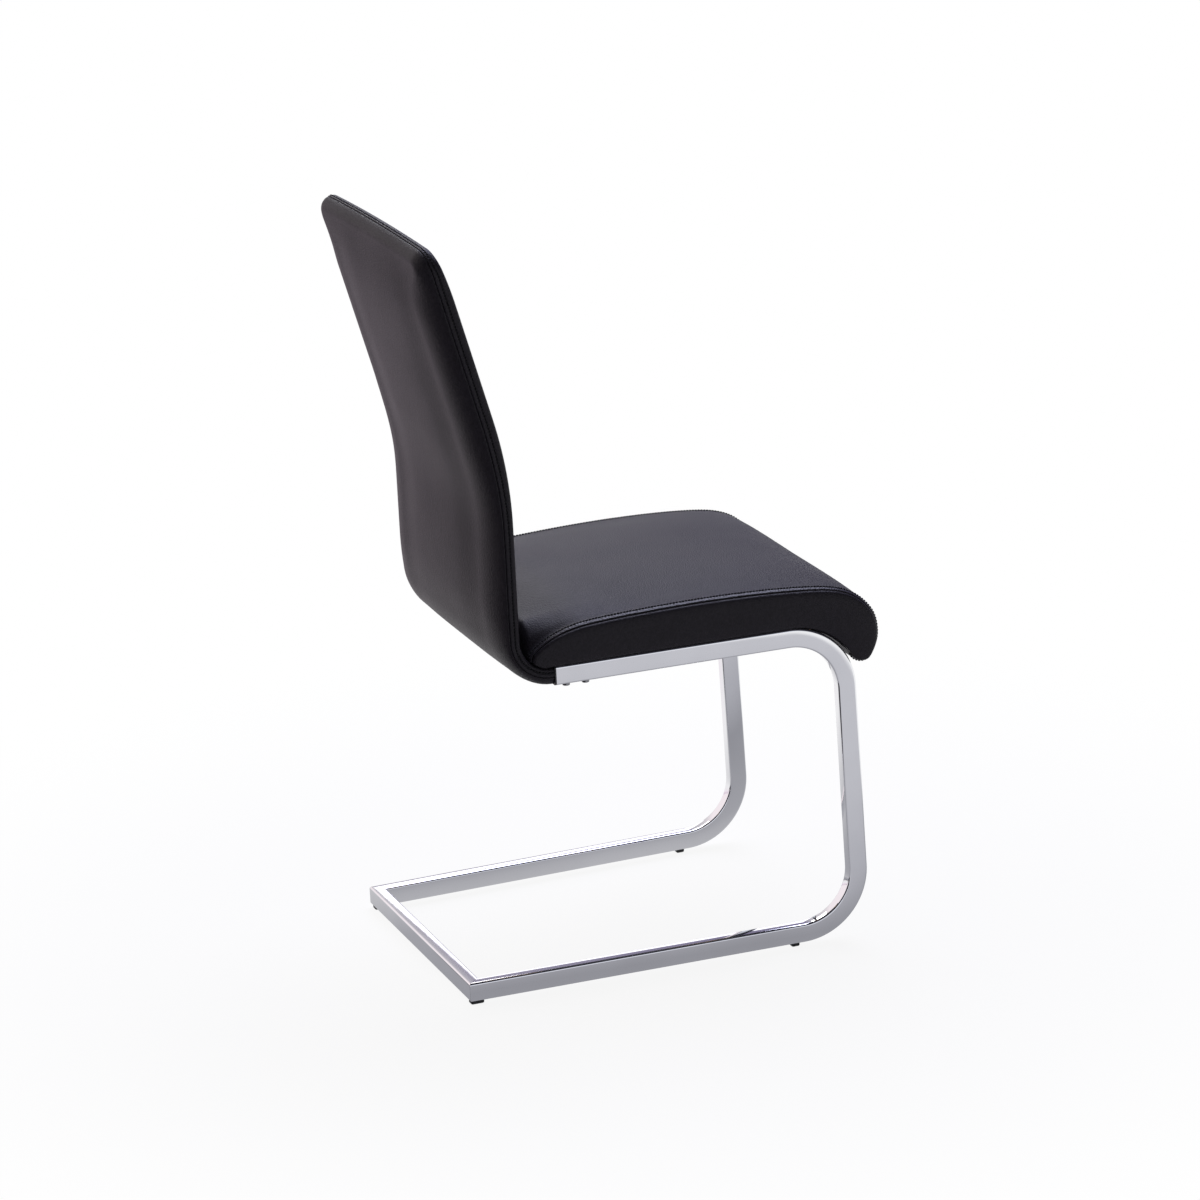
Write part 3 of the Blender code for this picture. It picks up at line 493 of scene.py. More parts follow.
def back_frame(s):
    """Point on the front face's middle line and the direction to the rear."""
    i = segment(BACK_S, s)
    while BACK_S[i + 1] == BACK_S[i]:
        i -= 1
    t = (s - BACK_S[i]) / (BACK_S[i + 1] - BACK_S[i])
    p = BACK_PATH[i].lerp(BACK_PATH[i + 1], t)
    d = (BACK_PATH[i + 1] - BACK_PATH[i]).normalized()
    if t < 0.5 and i > 0:
        d = d.lerp((BACK_PATH[i] - BACK_PATH[i - 1]).normalized(), 0.5 - t)
    if t > 0.5 and i < len(BACK_S) - 2:
        d = d.lerp((BACK_PATH[i + 2] - BACK_PATH[i + 1]).normalized(), t - 0.5)
    d.normalize()
    return p, Vector((d.y, -d.x))


def back_point(x, s, depth):
    """Point of the back, with its top edge bowed up in the middle."""
    bow = TOP_BOW * (1 - BOW_FALL * (x / BACK_HALF) ** 2) * smooth(TOP_S - BOW_L, TOP_S, s)
    p, n = back_frame(s + bow)
    q = p + n * depth
    return Vector((x, q.x, q.y))


SWELL_EARLY = 0.02         # the back grows thicker this much before its bend
FULL_RUN = 0.03            # above the heel, where the foot's thinness ends
CROWN_EARLY = 0.01         # the crowns start in the heel, grow over this length above it
CROWN_RUN = 0.10
CROWN_TOP = 0.09           # and end over this length below the top edge
EDGE_FOOT = 0.8            # share of the front edge's radius at the foot, and the rest
EDGE_REST = 0.2


def swell(s):
    return BACK_SWELL * smooth(KINK_START - SWELL_EARLY, KINK_END - SWELL_EARLY, s)


def fullness(s):
    """Grows from the thin foot to the upright part and again to the reclined part."""
    return FOOT_SCALE + (1 - FOOT_SCALE) * smooth(HEEL_START, HEEL_END + FULL_RUN, s) + swell(s)


def top_ease(s):
    """The front face leans back towards the top edge."""
    return TOP_EASE * max(0.0, (s - TOP_S) / TOP_EASE_L + 1) ** 2


def upright(s):
    """Weight of the crowns: none in the heel, full along the back, none at the top edge."""
    grown = smooth(HEEL_END - CROWN_EARLY, HEEL_END + CROWN_RUN, s)
    return grown * (1 - smooth(TOP_S - CROWN_TOP, TOP_S, s))


def seam(s):
    """Depth of the seam between the two covers."""
    return SEAM_DEPTH * fullness(s)


def rear_depth(s):
    """Depth of the rear cover's roll: deeper from the heel up, less again at the top edge."""
    belly = REAR_BELLY * smooth(HEEL_END - BELLY_START, HEEL_END + BELLY_END, s)
    belly += RECLINE_BELLY * smooth(KINK_START, KINK_END, s)
    drop = FOOT_DROP * (1 - smooth(HEEL_START, HEEL_END, s))
    taper = 1 - TOP_TAPER * smooth(TOP_S - TOP_TAPER_L, TOP_S, s)
    return (REAR_ROLL + belly) * fullness(s) * taper + drop


def roll_width(s):
    """Width of the rear cover's roll: narrow at the foot and at the top edge."""
    width = FOOT_ROLL_W + (REAR_ROLL_W - FOOT_ROLL_W) * smooth(0.0, HEEL_END, s)
    return width + (TOP_ROLL_W - width) * smooth(TOP_S - TOP_NARROW_L, TOP_S, s)


def edge_radius(s):
    return FRONT_EDGE_R * fullness(s) * (EDGE_FOOT + EDGE_REST * smooth(HEEL_START, HEEL_END, s))


LOW_ROWS = [0.0]
for start, end, count in ((0.0, HEEL_START, 2), (HEEL_START, HEEL_END, 18),
                          (HEEL_END, KINK_START, 14), (KINK_START, KINK_END, 14)):
    LOW_ROWS += [start + (end - start) * k / count for k in range(1, count + 1)]
HIGH_ROWS = 24
CORNER_ROWS = 10
ROWS = len(LOW_ROWS) + HIGH_ROWS + CORNER_ROWS
COLUMN_STEPS = 36
COLUMNS = [-1 + 2 * k / COLUMN_STEPS for k in range(COLUMN_STEPS + 1)]


def outline_row(i, inset):
    """Half width and path position of row i when the outline is moved inward."""
    if i < len(LOW_ROWS):
        s = LOW_ROWS[i]
        return BACK_HALF - inset(s), s
    r = BACK_CORNER_R * exp(-inset(TOP_S) / BACK_CORNER_R)
    bend = TOP_S - inset(TOP_S) - r
    i -= len(LOW_ROWS) - 1
    if i <= HIGH_ROWS:
        s = KINK_END + (bend - KINK_END) * i / HIGH_ROWS
        return BACK_HALF - inset(s), s
    a = radians(90 * (i - HIGH_ROWS) / CORNER_ROWS)
    s = bend + r * sin(a)
    return BACK_HALF - inset(s) - r * (1 - cos(a)), s


def edge_line(inset, depth):
    """Points up the right edge, across the top and down the left edge."""
    pts = []
    for i in range(ROWS):
        w, s = outline_row(i, inset)
        pts.append((-w, s))
    x, s = pts[-1]
    pts += [(-c * x, s) for c in COLUMNS[1:-1]]
    pts += [(-x, s) for x, s in reversed(pts[:ROWS])]
    return [back_point(x, s, depth(s)) for x, s in pts]


def back_face(inset, depth, rise):
    """Rows of points over the face inside its edge, each moved by its rise."""
    rows = []
    for i in range(ROWS):
        w, s = outline_row(i, inset)
        rows.append([back_point(c * w, s, depth(c, s) + (rise[i][j] if rise else 0.0))
                     for j, c in enumerate(COLUMNS)])
    return rows


def back_sheet(rows, lines):
    """Sheet from the face's rows and the lines that carry its edge to the seam and into it."""
    sheet = Builder()
    made = sheet.rows(rows)
    edge = [row[0] for row in made] + made[-1][1:-1] + [row[-1] for row in reversed(made)]
    for line in lines:
        ring = sheet.add(line)
        bridge(sheet.faces, edge, ring, False)
        edge = ring
    return sheet


def seam_turn(steps=5):
    """Distances from the seam and below the surface along an edge that turns into a flat seam."""
    turn = []
    for k in range(steps + 1):
        a = radians(90 * k / steps)
        turn.append((TUCK_R * (1 - sin(a)), TUCK_R * (1 - cos(a))))
    return turn + [(0.0, TUCK)]


def swollen(rows, name):
    """How far each point of a panel rises when it is held along its border and padded."""
    last_row = len(rows) - 1
    last_column = len(rows[0]) - 1
    panel = Builder()
    made = panel.rows(rows)
    ob = panel.object(name, LEATHERETTE)
    held = ob.vertex_groups.new(name="held")
    border = made[0] + made[-1] + [row[0] for row in made] + [row[-1] for row in made]
    held.add(border, 1.0, "REPLACE")
    start = [v.co.copy() for v in ob.data.vertices]
    normals = [v.normal.copy() for v in ob.data.vertices]
    cloth = ob.modifiers.new("cloth", "CLOTH")
    cloth.settings.quality = CLOTH_QUALITY
    cloth.settings.mass = CLOTH_MASS
    cloth.settings.tension_stiffness = CLOTH_TENSION
    cloth.settings.compression_stiffness = CLOTH_TENSION
    cloth.settings.shear_stiffness = CLOTH_SHEAR
    cloth.settings.bending_stiffness = CLOTH_BENDING
    cloth.settings.vertex_group_mass = "held"
    cloth.settings.use_pressure = True
    cloth.settings.uniform_pressure_force = PRESSURE
    cloth.settings.effector_weights.gravity = 0
    cloth.point_cache.frame_end = CLOTH_FRAMES
    scene = bpy.context.scene
    for k in range(1, CLOTH_FRAMES + 1):
        scene.frame_set(k)
    shaped = ob.evaluated_get(bpy.context.evaluated_depsgraph_get())
    rise = []
    for row in made:
        moved = [(shaped.data.vertices[i].co - start[i]).dot(normals[i]) for i in row]
        rise.append([CLOTH_CAP * tanh(m / CLOTH_CAP) for m in moved])
    scene.frame_set(1)
    bpy.data.objects.remove(ob)
    for k in range(CLOTH_EASE):
        before = [list(row) for row in rise]
        for i in range(1, last_row):
            for j in range(1, last_column):
                around = before[i - 1][j] + before[i + 1][j] + before[i][j - 1] + before[i][j + 1]
                rise[i][j] = (before[i][j] + around / 4) / 2
    return rise


# Back covers

BAND_W = 0.0085
ROUND_STEPS = 6
# Crease of the topstitch: distance from it, then depth in shares of GROOVE and of STRIP_RISE
BAND_CREASE = [(0.0014, 0.0, 0.0), (0.0005, 0.7, 0.0), (0.0, 1.0, 0.0), (-0.0005, 0.6, 0.0),
               (-0.0014, 0.0, 0.6), (-0.0026, 0.0, 1.0)]
STRIP_END = 0.0012
REAR_CREST = 0.5           # share of the rear crown that the heel keeps
CREST_END = (0.06, 0.01)   # distances from the top edge between which the crown ends
ROLL_REACH = (0.1, 0.2, 0.3, 0.4, 0.5, 0.6, 0.7, 0.78, 0.85, 0.9, 0.94, 0.97, 0.99)
FACING_ROW = 20


def band_scale(s):
    """The band beside the seam narrows at the foot and at the top, and its stitching with it."""
    return min(1.0, (seam(s) - top_ease(s) - edge_radius(s)) / BAND_W)


def front_depth(c, s):
    return top_ease(s) - FRONT_CROWN * (1 - c * c) * upright(s)


def front_lines():
    """Edge of the front cover: its rounding, the band with its crease and the turn to the seam."""
    lines = []
    for k in range(1, ROUND_STEPS + 1):
        a = radians(90 * k / ROUND_STEPS)

        def inset(s, a=a):
            return edge_radius(s) * (1 - sin(a))

        def depth(s, a=a):
            return top_ease(s) + edge_radius(s) * (1 - cos(a))

        lines.append(edge_line(inset, depth))
    across = [(STITCH_BACK + t, groove * GROOVE - strip * STRIP_RISE)
              for t, groove, strip in BAND_CREASE]
    across.append((TUCK_R + STRIP_END, -STRIP_RISE))
    across += [(t, inward - STRIP_RISE) for t, inward in seam_turn()]
    for before, inward in across:

        def side(s, inward=inward):
            return inward

        def place(s, before=before):
            return seam(s) - before * band_scale(s)

        lines.append(edge_line(side, place))
    return lines


def rear_face_depth(c, s):
    crown = REAR_CROWN * (1 - c ** 4) ** 2 * (REAR_CREST + (1 - REAR_CREST) * upright(s))
    crown *= 1 - smooth(TOP_S - CREST_END[0], TOP_S - CREST_END[1], s)
    return seam(s) + rear_depth(s) + crown * fullness(s)


def rear_lines():
    """Edge of the rear cover: a wide roll that steepens towards the seam, then the turn into it."""
    lines = []
    for reach in ROLL_REACH:
        fall = (1 - reach * reach) ** (1 / ROLL_POWER)

        def inset(s, reach=reach):
            return roll_width(s) * (1 - reach)

        def depth(s, fall=fall):
            return seam(s) + TUCK_R + (rear_depth(s) - TUCK_R) * fall

        lines.append(edge_line(inset, depth))
    for after, inward in seam_turn():

        def side(s, inward=inward):
            return inward

        def place(s, after=after):
            return seam(s) + after

        lines.append(edge_line(side, place))
    return lines


def back_cover(rows, lines, name, facing, nodes):
    """Padded cover from its face's rows and its edge's lines."""
    ob = back_sheet(rows, lines).object(name, LEATHERETTE)
    face = ob.data.polygons[len(COLUMNS) * FACING_ROW]
    if face.normal.dot(Vector(facing)) < 0:
        ob.data.flip_normals()
    thicken(ob)
    finish_piece(ob, nodes)


def fade(rise, margin):
    """Rise that dies out towards the border over a share of the panel."""
    last = len(rise) - 1
    out = []
    for i, row in enumerate(rise):
        inside = min(i, last - i) / last
        ends = len(row) - 1
        out.append([v * smooth(0.0, margin, inside) * smooth(0.0, margin, min(j, ends - j) / ends)
                    for j, v in enumerate(row)])
    return out


front_rows = back_face(edge_radius, front_depth, None)
front_rise = fade(swollen(front_rows, "back_front_panel"), FRONT_FADE)
front_rows = back_face(edge_radius, front_depth, [[-v for v in row] for row in front_rise])
back_cover(front_rows, front_lines(), "back_front_upholstery", (0, -1, 0),
           ["back_front_cover", "back_front_foam"])

rear_rows = back_face(roll_width, rear_face_depth, None)
rear_rise = fade(swollen(rear_rows, "back_rear_panel"), REAR_FADE)
rear_rows = back_face(roll_width, rear_face_depth, rear_rise)
back_cover(rear_rows, rear_lines(), "back_rear_upholstery", (0, 1, 0),
           ["back_rear_cover", "back_rear_foam"])


# Stitching

THREAD_STEPS = 6
THREAD_SIDES = 8
THREAD_LIFT = 0.75         # height of a thread's middle, in its radius
THREAD_DIP = 2.2           # how far its ends go down from there
THREAD_END = 0.45          # thickness of the ends
PROBE = 0.001              # height over a line at which the surface's normal is taken
TINY = 1e-9


def stitching(name, points, normals):
    """Short threads along a line on a surface, each dipping into it at both ends."""
    run = chain_run(points)

    def at(distance):
        i = segment(run, distance)
        t = (distance - run[i]) / max(TINY, run[i + 1] - run[i])
        return points[i].lerp(points[i + 1], t), normals[i].lerp(normals[i + 1], t).normalized()

    threads = Builder()
    for k in range(int(run[-1] / STITCH_PITCH)):
        first = k * STITCH_PITCH + (STITCH_PITCH - STITCH_LENGTH) / 2
        stations = []
        for m in range(THREAD_STEPS + 1):
            p, n = at(first + STITCH_LENGTH * m / THREAD_STEPS)
            lift = THREAD_LIFT - THREAD_DIP * abs(2 * m / THREAD_STEPS - 1) ** 4
            stations.append((p + n * (THREAD_R * lift), n))
        rings = []
        for m, (p, n) in enumerate(stations):
            ahead = stations[min(THREAD_STEPS, m + 1)][0] - stations[max(0, m - 1)][0]
            across = ahead.cross(n).normalized()
            up = across.cross(ahead).normalized()
            size = THREAD_R * (THREAD_END if m in (0, THREAD_STEPS) else 1.0)
            turns = [radians(360 / THREAD_SIDES * j) for j in range(THREAD_SIDES)]
            rings.append([p + (across * cos(a) + up * sin(a)) * size for a in turns])
        threads.capped(rings)
    # the threads' near-black carries painted shade of their holes
    finish_piece(threads.object(name, THREAD_WITH_PAINTED_SHADE), [])


def line_normals(line, lifted):
    return [(b - a).normalized() for a, b in zip(line, lifted)]


def stitch_depth(s):
    return seam(s) - STITCH_BACK * band_scale(s)


back_stitch = edge_line(lambda s: GROOVE, stitch_depth)
back_out = edge_line(lambda s: GROOVE - PROBE, stitch_depth)
stitching("back_topstitch", back_stitch, line_normals(back_stitch, back_out))


# Seat: outline in the side view, from the rear underside over the top to the lip

TOE_GAP = 0.0015
BOARD_INSET = 0.010
HEEL_Y = BACK_FRONT_Y - HEEL_R
HEEL_Z = FOOT_Z + HEEL_R
TOE_R = HEEL_R - TOE_GAP
BASE_ANGLE = asin(min(1.0, (HEEL_Z - SEAT_BASE) / TOE_R))
BOARD_REAR_Y = min(HEEL_Y, RAIL_END_Y) - BOARD_INSET
TOE_STEPS = 6
OUTLINE_STEP = 0.0045
LEAST_STEPS = 4
# Points that guide the outline
REAR_GUIDE = [(0.005, 0.033), (0.038, 0.0143), (0.092, 0.0046)]     # from the rear, from the top
FRONT_GUIDE = [(0.105, 0.005), (0.042, 0.0172), (0.008, 0.046)]     # from the nose, from the top
UNDER_GUIDE = [(0.0, NOSE_TIP), (0.010, 0.006), (0.0215, 0.0)]      # from the nose, from below
LIP_TURN = (-0.005, -0.0095)
# Shares of the way over the top, and under the nose, between which the crown comes and goes
CROWN_IN = (0.02, 0.2)
CROWN_LOW = (0.6, 0.95)
CROWN_LOSS = 0.7
CROWN_OUT = 0.6
CROWN_POWER = 4


def lip_point(radius, angle):
    return Vector((LIP_Y - radius * sin(angle), SEAT_BASE - LIP_R + radius * cos(angle)))


def seat_outline():
    """Chain of points through the guide points, smoothly."""
    toe = []
    for k in range(TOE_STEPS + 1):
        a = BASE_ANGLE + (TOE_ANGLE - BASE_ANGLE) * k / TOE_STEPS
        toe.append(Vector((HEEL_Y + TOE_R * cos(a), HEEL_Z - TOE_R * sin(a))))
    high = SEAT_BASE + SEAT_RISE
    low = SEAT_BASE - NOSE_DROP
    rear = toe[-1].x
    lip = lip_point(LIP_R, LIP_ANGLE)
    guide = [toe[-1]]
    guide += [Vector((rear - y, high - z)) for y, z in REAR_GUIDE]
    guide.append(Vector(((rear + NOSE_Y) / 2, high)))
    guide += [Vector((NOSE_Y + y, high - z)) for y, z in FRONT_GUIDE]
    guide += [Vector((NOSE_Y + y, low + z)) for y, z in UNDER_GUIDE]
    guide += [lip + Vector(LIP_TURN), lip]
    pts = toe[:-1]
    for i in range(len(guide) - 1):
        a = guide[max(0, i - 1)]
        b = guide[i]
        c = guide[i + 1]
        d = guide[min(len(guide) - 1, i + 2)]
        count = max(LEAST_STEPS, int((c - b).length / OUTLINE_STEP))
        for k in range(count):
            t = k / count
            pts.append(0.5 * (2 * b + (c - a) * t + (2 * a - 5 * b + 4 * c - d) * t * t
                              + (3 * b - a - 3 * c + d) * t * t * t))
    pts.append(lip)
    return pts


def along(chain, run, distance):
    """Point at this distance along a chain."""
    i = segment(run, distance)
    return chain[i].lerp(chain[i + 1], (distance - run[i]) / max(TINY, run[i + 1] - run[i]))


def seat_half(y):
    return half_width(y) - SEAT_INSET


SEAT_LINE = seat_outline()
SEAT_RUN = chain_run(SEAT_LINE)
TOE_AT = max(range(len(SEAT_LINE)), key=lambda i: SEAT_LINE[i].x)
TIP_AT = min(range(len(SEAT_LINE)), key=lambda i: SEAT_LINE[i].x)
SEAT_NORMALS = []
SEAT_CROWNS = []
SEAT_FILLS = []
for i, p in enumerate(SEAT_LINE):
    step = SEAT_LINE[min(len(SEAT_LINE) - 1, i + 1)] - SEAT_LINE[max(0, i - 1)]
    step.normalize()
    SEAT_NORMALS.append(Vector((step.y, -step.x)))
    a = (SEAT_RUN[i] - SEAT_RUN[TOE_AT]) / (SEAT_RUN[TIP_AT] - SEAT_RUN[TOE_AT])
    b = (SEAT_RUN[i] - SEAT_RUN[TIP_AT]) / (SEAT_RUN[-1] - SEAT_RUN[TIP_AT])
    weight = smooth(*CROWN_IN, a) * (1 - CROWN_LOSS * smooth(*CROWN_LOW, a))
    SEAT_CROWNS.append(SEAT_CROWN * (weight * (1 - smooth(0.0, CROWN_OUT, b))))
    level = smooth(0.0, FILL_RUN, SEAT_RUN[i] - SEAT_RUN[TOE_AT]) * (1 - smooth(*FILL_FADE, a))
    SEAT_FILLS.append(REAR_FILL * max(0.0, SEAT_BASE + SEAT_RISE - p.y) * level)


TURN_STEPS = 8
TURN_SWEEP = 135
TURN_TUCK = 0.6            # share of TUCK at the corner seams
STRIP_PLACE = (0.0040, 0.35)    # on the strip: distance from the seam, share of EDGE_PUFF
# Crease of the topstitch: distance from it, then shares of EDGE_PUFF and GROOVE
SEAT_CREASE = [(-0.0024, 0.75, 0.0), (-0.0012, 1.0, 0.2), (-0.0005, 1.0, 0.7), (0.0, 1.0, 1.0),
               (0.0006, 1.0, 0.7), (0.0016, 1.0, 0.1), (0.0032, 1.0, 0.0)]
TOP_COLUMNS = 24           # from there to the middle, closer together beside the seam
COLUMN_POWER = 1.5


def corner_turn(r):
    """Distances along a panel and below it from a corner seam that its edge rolls into."""
    turn = []
    for k in range(TURN_STEPS + 1):
        a = radians(-90 - TURN_SWEEP * k / TURN_STEPS)
        turn.append((r * (1 + 2 ** 0.5) + r * cos(a), r + r * sin(a)))
    end = Vector(turn[-1])
    turn.append(tuple(end + Vector((1, 1)).normalized() * TURN_TUCK * TUCK))
    return turn


def seat_columns():
    """Distance from the side seam and height over the plain surface, up to the middle."""
    edge = [(d, -below) for d, below in reversed(corner_turn(SEAT_TUCK_R))]
    edge.append((STRIP_PLACE[0], STRIP_PLACE[1] * EDGE_PUFF))
    edge += [(SEAT_STITCH + d, puff * EDGE_PUFF - groove * GROOVE)
             for d, puff, groove in SEAT_CREASE]
    last = edge[-1][0]
    reach = seat_half(0.0) - last
    for k in range(1, TOP_COLUMNS + 1):
        share = (k / TOP_COLUMNS) ** COLUMN_POWER
        edge.append((last + reach * share, EDGE_PUFF * (1 - share)))
    return edge


SEAT_COLUMNS = seat_columns()
STITCH_COLUMN = min(range(len(SEAT_COLUMNS)),
                    key=lambda j: abs(SEAT_COLUMNS[j][0] - SEAT_STITCH))
STRIP_START = len(corner_turn(SEAT_TUCK_R)) - 3
EDGE_KEPT = 0.02           # up to here, distances from the seam don't follow the seat's width


def seat_point(i, side, distance, lift):
    """Point of the top cover in row i, at a distance from its side seam."""
    p = SEAT_LINE[i]
    n = SEAT_NORMALS[i]
    half = seat_half(p.x)
    if distance > EDGE_KEPT:
        middle = seat_half(0.0)
        distance = EDGE_KEPT + (distance - EDGE_KEPT) * (half - EDGE_KEPT) / (middle - EDGE_KEPT)
    x = half - distance
    q = p + n * (SEAT_CROWNS[i] * (1 - (x / half) ** CROWN_POWER) + lift)
    share = min(1.0, max(0.0, (distance - FILL_START) / (FILL_END - FILL_START)))
    fill = SEAT_FILLS[i] * smooth(0.0, FILL_EASE, share) * (1 - (1 - share) ** FILL_POWER)
    return Vector((side * x, q.x, q.y + fill))


def seat_grid(rise):
    """Rows from the right seam to the left one."""
    grid = []
    for i in range(len(SEAT_LINE)):
        row = []
        for side in (-1, 1):
            columns = SEAT_COLUMNS if side < 0 else list(reversed(SEAT_COLUMNS[:-1]))
            row += [seat_point(i, side, d, lift) for d, lift in columns]
        if rise:
            n = SEAT_NORMALS[i]
            for j, v in enumerate(rise[i]):
                row[j + STITCH_COLUMN] += Vector((0, n.x, n.y)) * v
        grid.append(row)
    return grid


seat_rows = seat_grid(None)
inner_rows = [row[STITCH_COLUMN:len(row) - STITCH_COLUMN] for row in seat_rows]
seat_rise = swollen(inner_rows, "seat_panel")
seat_rows = seat_grid(seat_rise)
for k in range(1, WRAP_ROWS + 1):
    share = k / WRAP_ROWS
    radius = LIP_R - WRAP_IN * smooth(0.0, WRAP_IN_RUN, share)
    p = lip_point(radius, LIP_ANGLE + (WRAP_END - LIP_ANGLE) * share)
    narrow = seat_half(p.x) - WRAP_NARROW * smooth(0.0, WRAP_NARROW_RUN, share)
    narrow /= seat_half(SEAT_LINE[-1].x)
    seat_rows.append([Vector((q.x * narrow, p.x, p.y)) for q in seat_rows[len(SEAT_LINE) - 1]])
seat_sheet = Builder()
seat_sheet.rows(seat_rows)
seat_top = seat_sheet.object("seat_upholstery", LEATHERETTE)
middle_face = (TIP_AT // 2) * (len(seat_rows[0]) - 1) + len(seat_rows[0]) // 2
if seat_top.data.polygons[middle_face].normal.z < 0:
    seat_top.data.flip_normals()
seat_top.data.materials.append(STRETCHED)
strips = len(seat_rows[0]) - 1
for i in range((len(SEAT_LINE) - 1) * strips):
    if STRIP_START <= min(i % strips, strips - 1 - i % strips) < STITCH_COLUMN - 1:
        seat_top.data.polygons[i].material_index = 1
thicken(seat_top)
finish_piece(seat_top, ["seat_top_cover", "seat_foam"])
for side, hand in ((-1, "right"), (1, "left")):
    stitch = []
    lifted = []
    for i in range(TOE_AT + 2, len(SEAT_LINE) - 1):
        stitch.append(seat_point(i, side, SEAT_STITCH, EDGE_PUFF - GROOVE))
        lifted.append(seat_point(i, side, SEAT_STITCH, EDGE_PUFF + PROBE))
    stitching("seat_topstitch_" + hand, stitch, line_normals(stitch, lifted))


# Seat side panels between the side seam and the rail

LIP_STEPS = 24
TOE_SHARE = 0.35           # where the panel's lower edge is when its upper edge is at the toe
TIP_SHARE = 0.72           # and at the nose
PANEL_STEP = 0.006
PANEL_LEAST = 6
TURN_FULL = 0.012          # panel height from which its edge turns in fully
BULGE_FULL = 0.045         # and from which it bulges fully
PANEL_SHARES = (0.06, 0.14, 0.24, 0.36, 0.5, 0.62, 0.74, 0.84, 0.92)
HEM = ((0.965, 0.0006), (0.99, 0.0017), (1.0, 0.0032))
LOWER = [SEAT_LINE[0], Vector((BOARD_REAR_Y, SEAT_BASE))]
LOWER += [lip_point(LIP_R, LIP_ANGLE * k / LIP_STEPS) for k in range(LIP_STEPS + 1)]
LOWER_RUN = chain_run(LOWER)


def upper_at_y(y):
    return min(range(TOE_AT, TIP_AT), key=lambda i: abs(SEAT_LINE[i].x - y))


PAIRS = [(0.0, 0.0),
         (SEAT_RUN[TOE_AT], TOE_SHARE * LOWER_RUN[1]),
         (SEAT_RUN[upper_at_y(HEEL_Y - BOARD_INSET)], LOWER_RUN[1]),
         (SEAT_RUN[upper_at_y(LIP_Y)], LOWER_RUN[2]),
         (SEAT_RUN[TIP_AT], LOWER_RUN[2] + TIP_SHARE * (LOWER_RUN[-1] - LOWER_RUN[2])),
         (SEAT_RUN[-1], LOWER_RUN[-1])]
STATIONS = []
for (u0, l0), (u1, l1) in zip(PAIRS, PAIRS[1:]):
    count = max(PANEL_LEAST, int((u1 - u0) / PANEL_STEP))
    STATIONS += [(u0 + (u1 - u0) * k / count, l0 + (l1 - l0) * k / count) for k in range(count)]
STATIONS = STATIONS[1:]
for side, hand in ((-1, "right"), (1, "left")):
    rows = []
    for upper, lower in STATIONS:
        top = along(SEAT_LINE, SEAT_RUN, upper)
        bottom = along(LOWER, LOWER_RUN, lower)
        length = (top - bottom).length
        scale = min(1.0, length / TURN_FULL)
        across = [(d * scale, below * scale) for d, below in reversed(corner_turn(BOXING_TUCK_R))]
        start = across[-1][0]
        reach = length - start
        across += [(start + reach * f, 0.0) for f in PANEL_SHARES]
        across += [(start + reach * f, below * scale) for f, below in HEM]
        row = []
        for d, below in across:
            v = min(1.0, max(0.0, d / length))
            p = top.lerp(bottom, v)
            bulge = SIDE_BULGE * min(1.0, length / BULGE_FULL) * (1 - (2 * v - 1) ** 4)
            row.append((side * (seat_half(p.x) + bulge - below), p.x, p.y))
        rows.append(row)
    panel = Builder()
    panel.rows(rows)
    boxing = panel.object("seat_boxing_" + hand, LEATHERETTE)
    if boxing.data.polygons[len(boxing.data.polygons) // 2].normal.x * side < 0:
        boxing.data.flip_normals()
    thicken(boxing)
    finish_piece(boxing, ["seat_side_panel_" + hand])


# Glides and visible bolts

def ringed(name, rings, material, nodes):
    solid = Builder()
    solid.capped(rings)
    finish_piece(crisp(solid.object(name, material)), nodes)


RUN_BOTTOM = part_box("floor_cross_tube")[0].z
GLIDE_R = 0.0026
GLIDE_RINGS = [(0.0022, 0.0), (0.0012, 0.0002), (0.0005, 0.0007), (0.0, 0.0016),
               (0.0, RUN_BOTTOM - 0.0007), (0.0002, RUN_BOTTOM - 0.0002),
               (0.0009, RUN_BOTTOM - 0.0001)]     # inset and height
for place in ("front_left", "front_right", "rear_left", "rear_right"):
    low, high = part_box("glide_" + place)
    centre = (low + high) / 2
    wide = high.x - low.x
    deep = high.y - low.y
    rings = []
    for inset, z in GLIDE_RINGS:
        outline = rounded_rect(wide - 2 * inset, deep - 2 * inset, GLIDE_R - inset, EDGE_STEPS)
        rings.append([(centre.x + a, centre.y - SHIFT + b, z) for a, b in outline])
    ringed("moulded_glide_" + place, rings, PLASTIC, ["glide_" + place])

HEX = 0.0026               # radius of the socket's corners
HEX_FLAT = 0.866           # and of its flats, as a share of it
HEX_BEVEL = 0.0003
SOCKET_DEPTHS = (0.0, 0.0004, 0.0022)
BOLT_HEAD_H = 0.004
BOLT_ANGLES = [7.5 * k for k in range(48)]
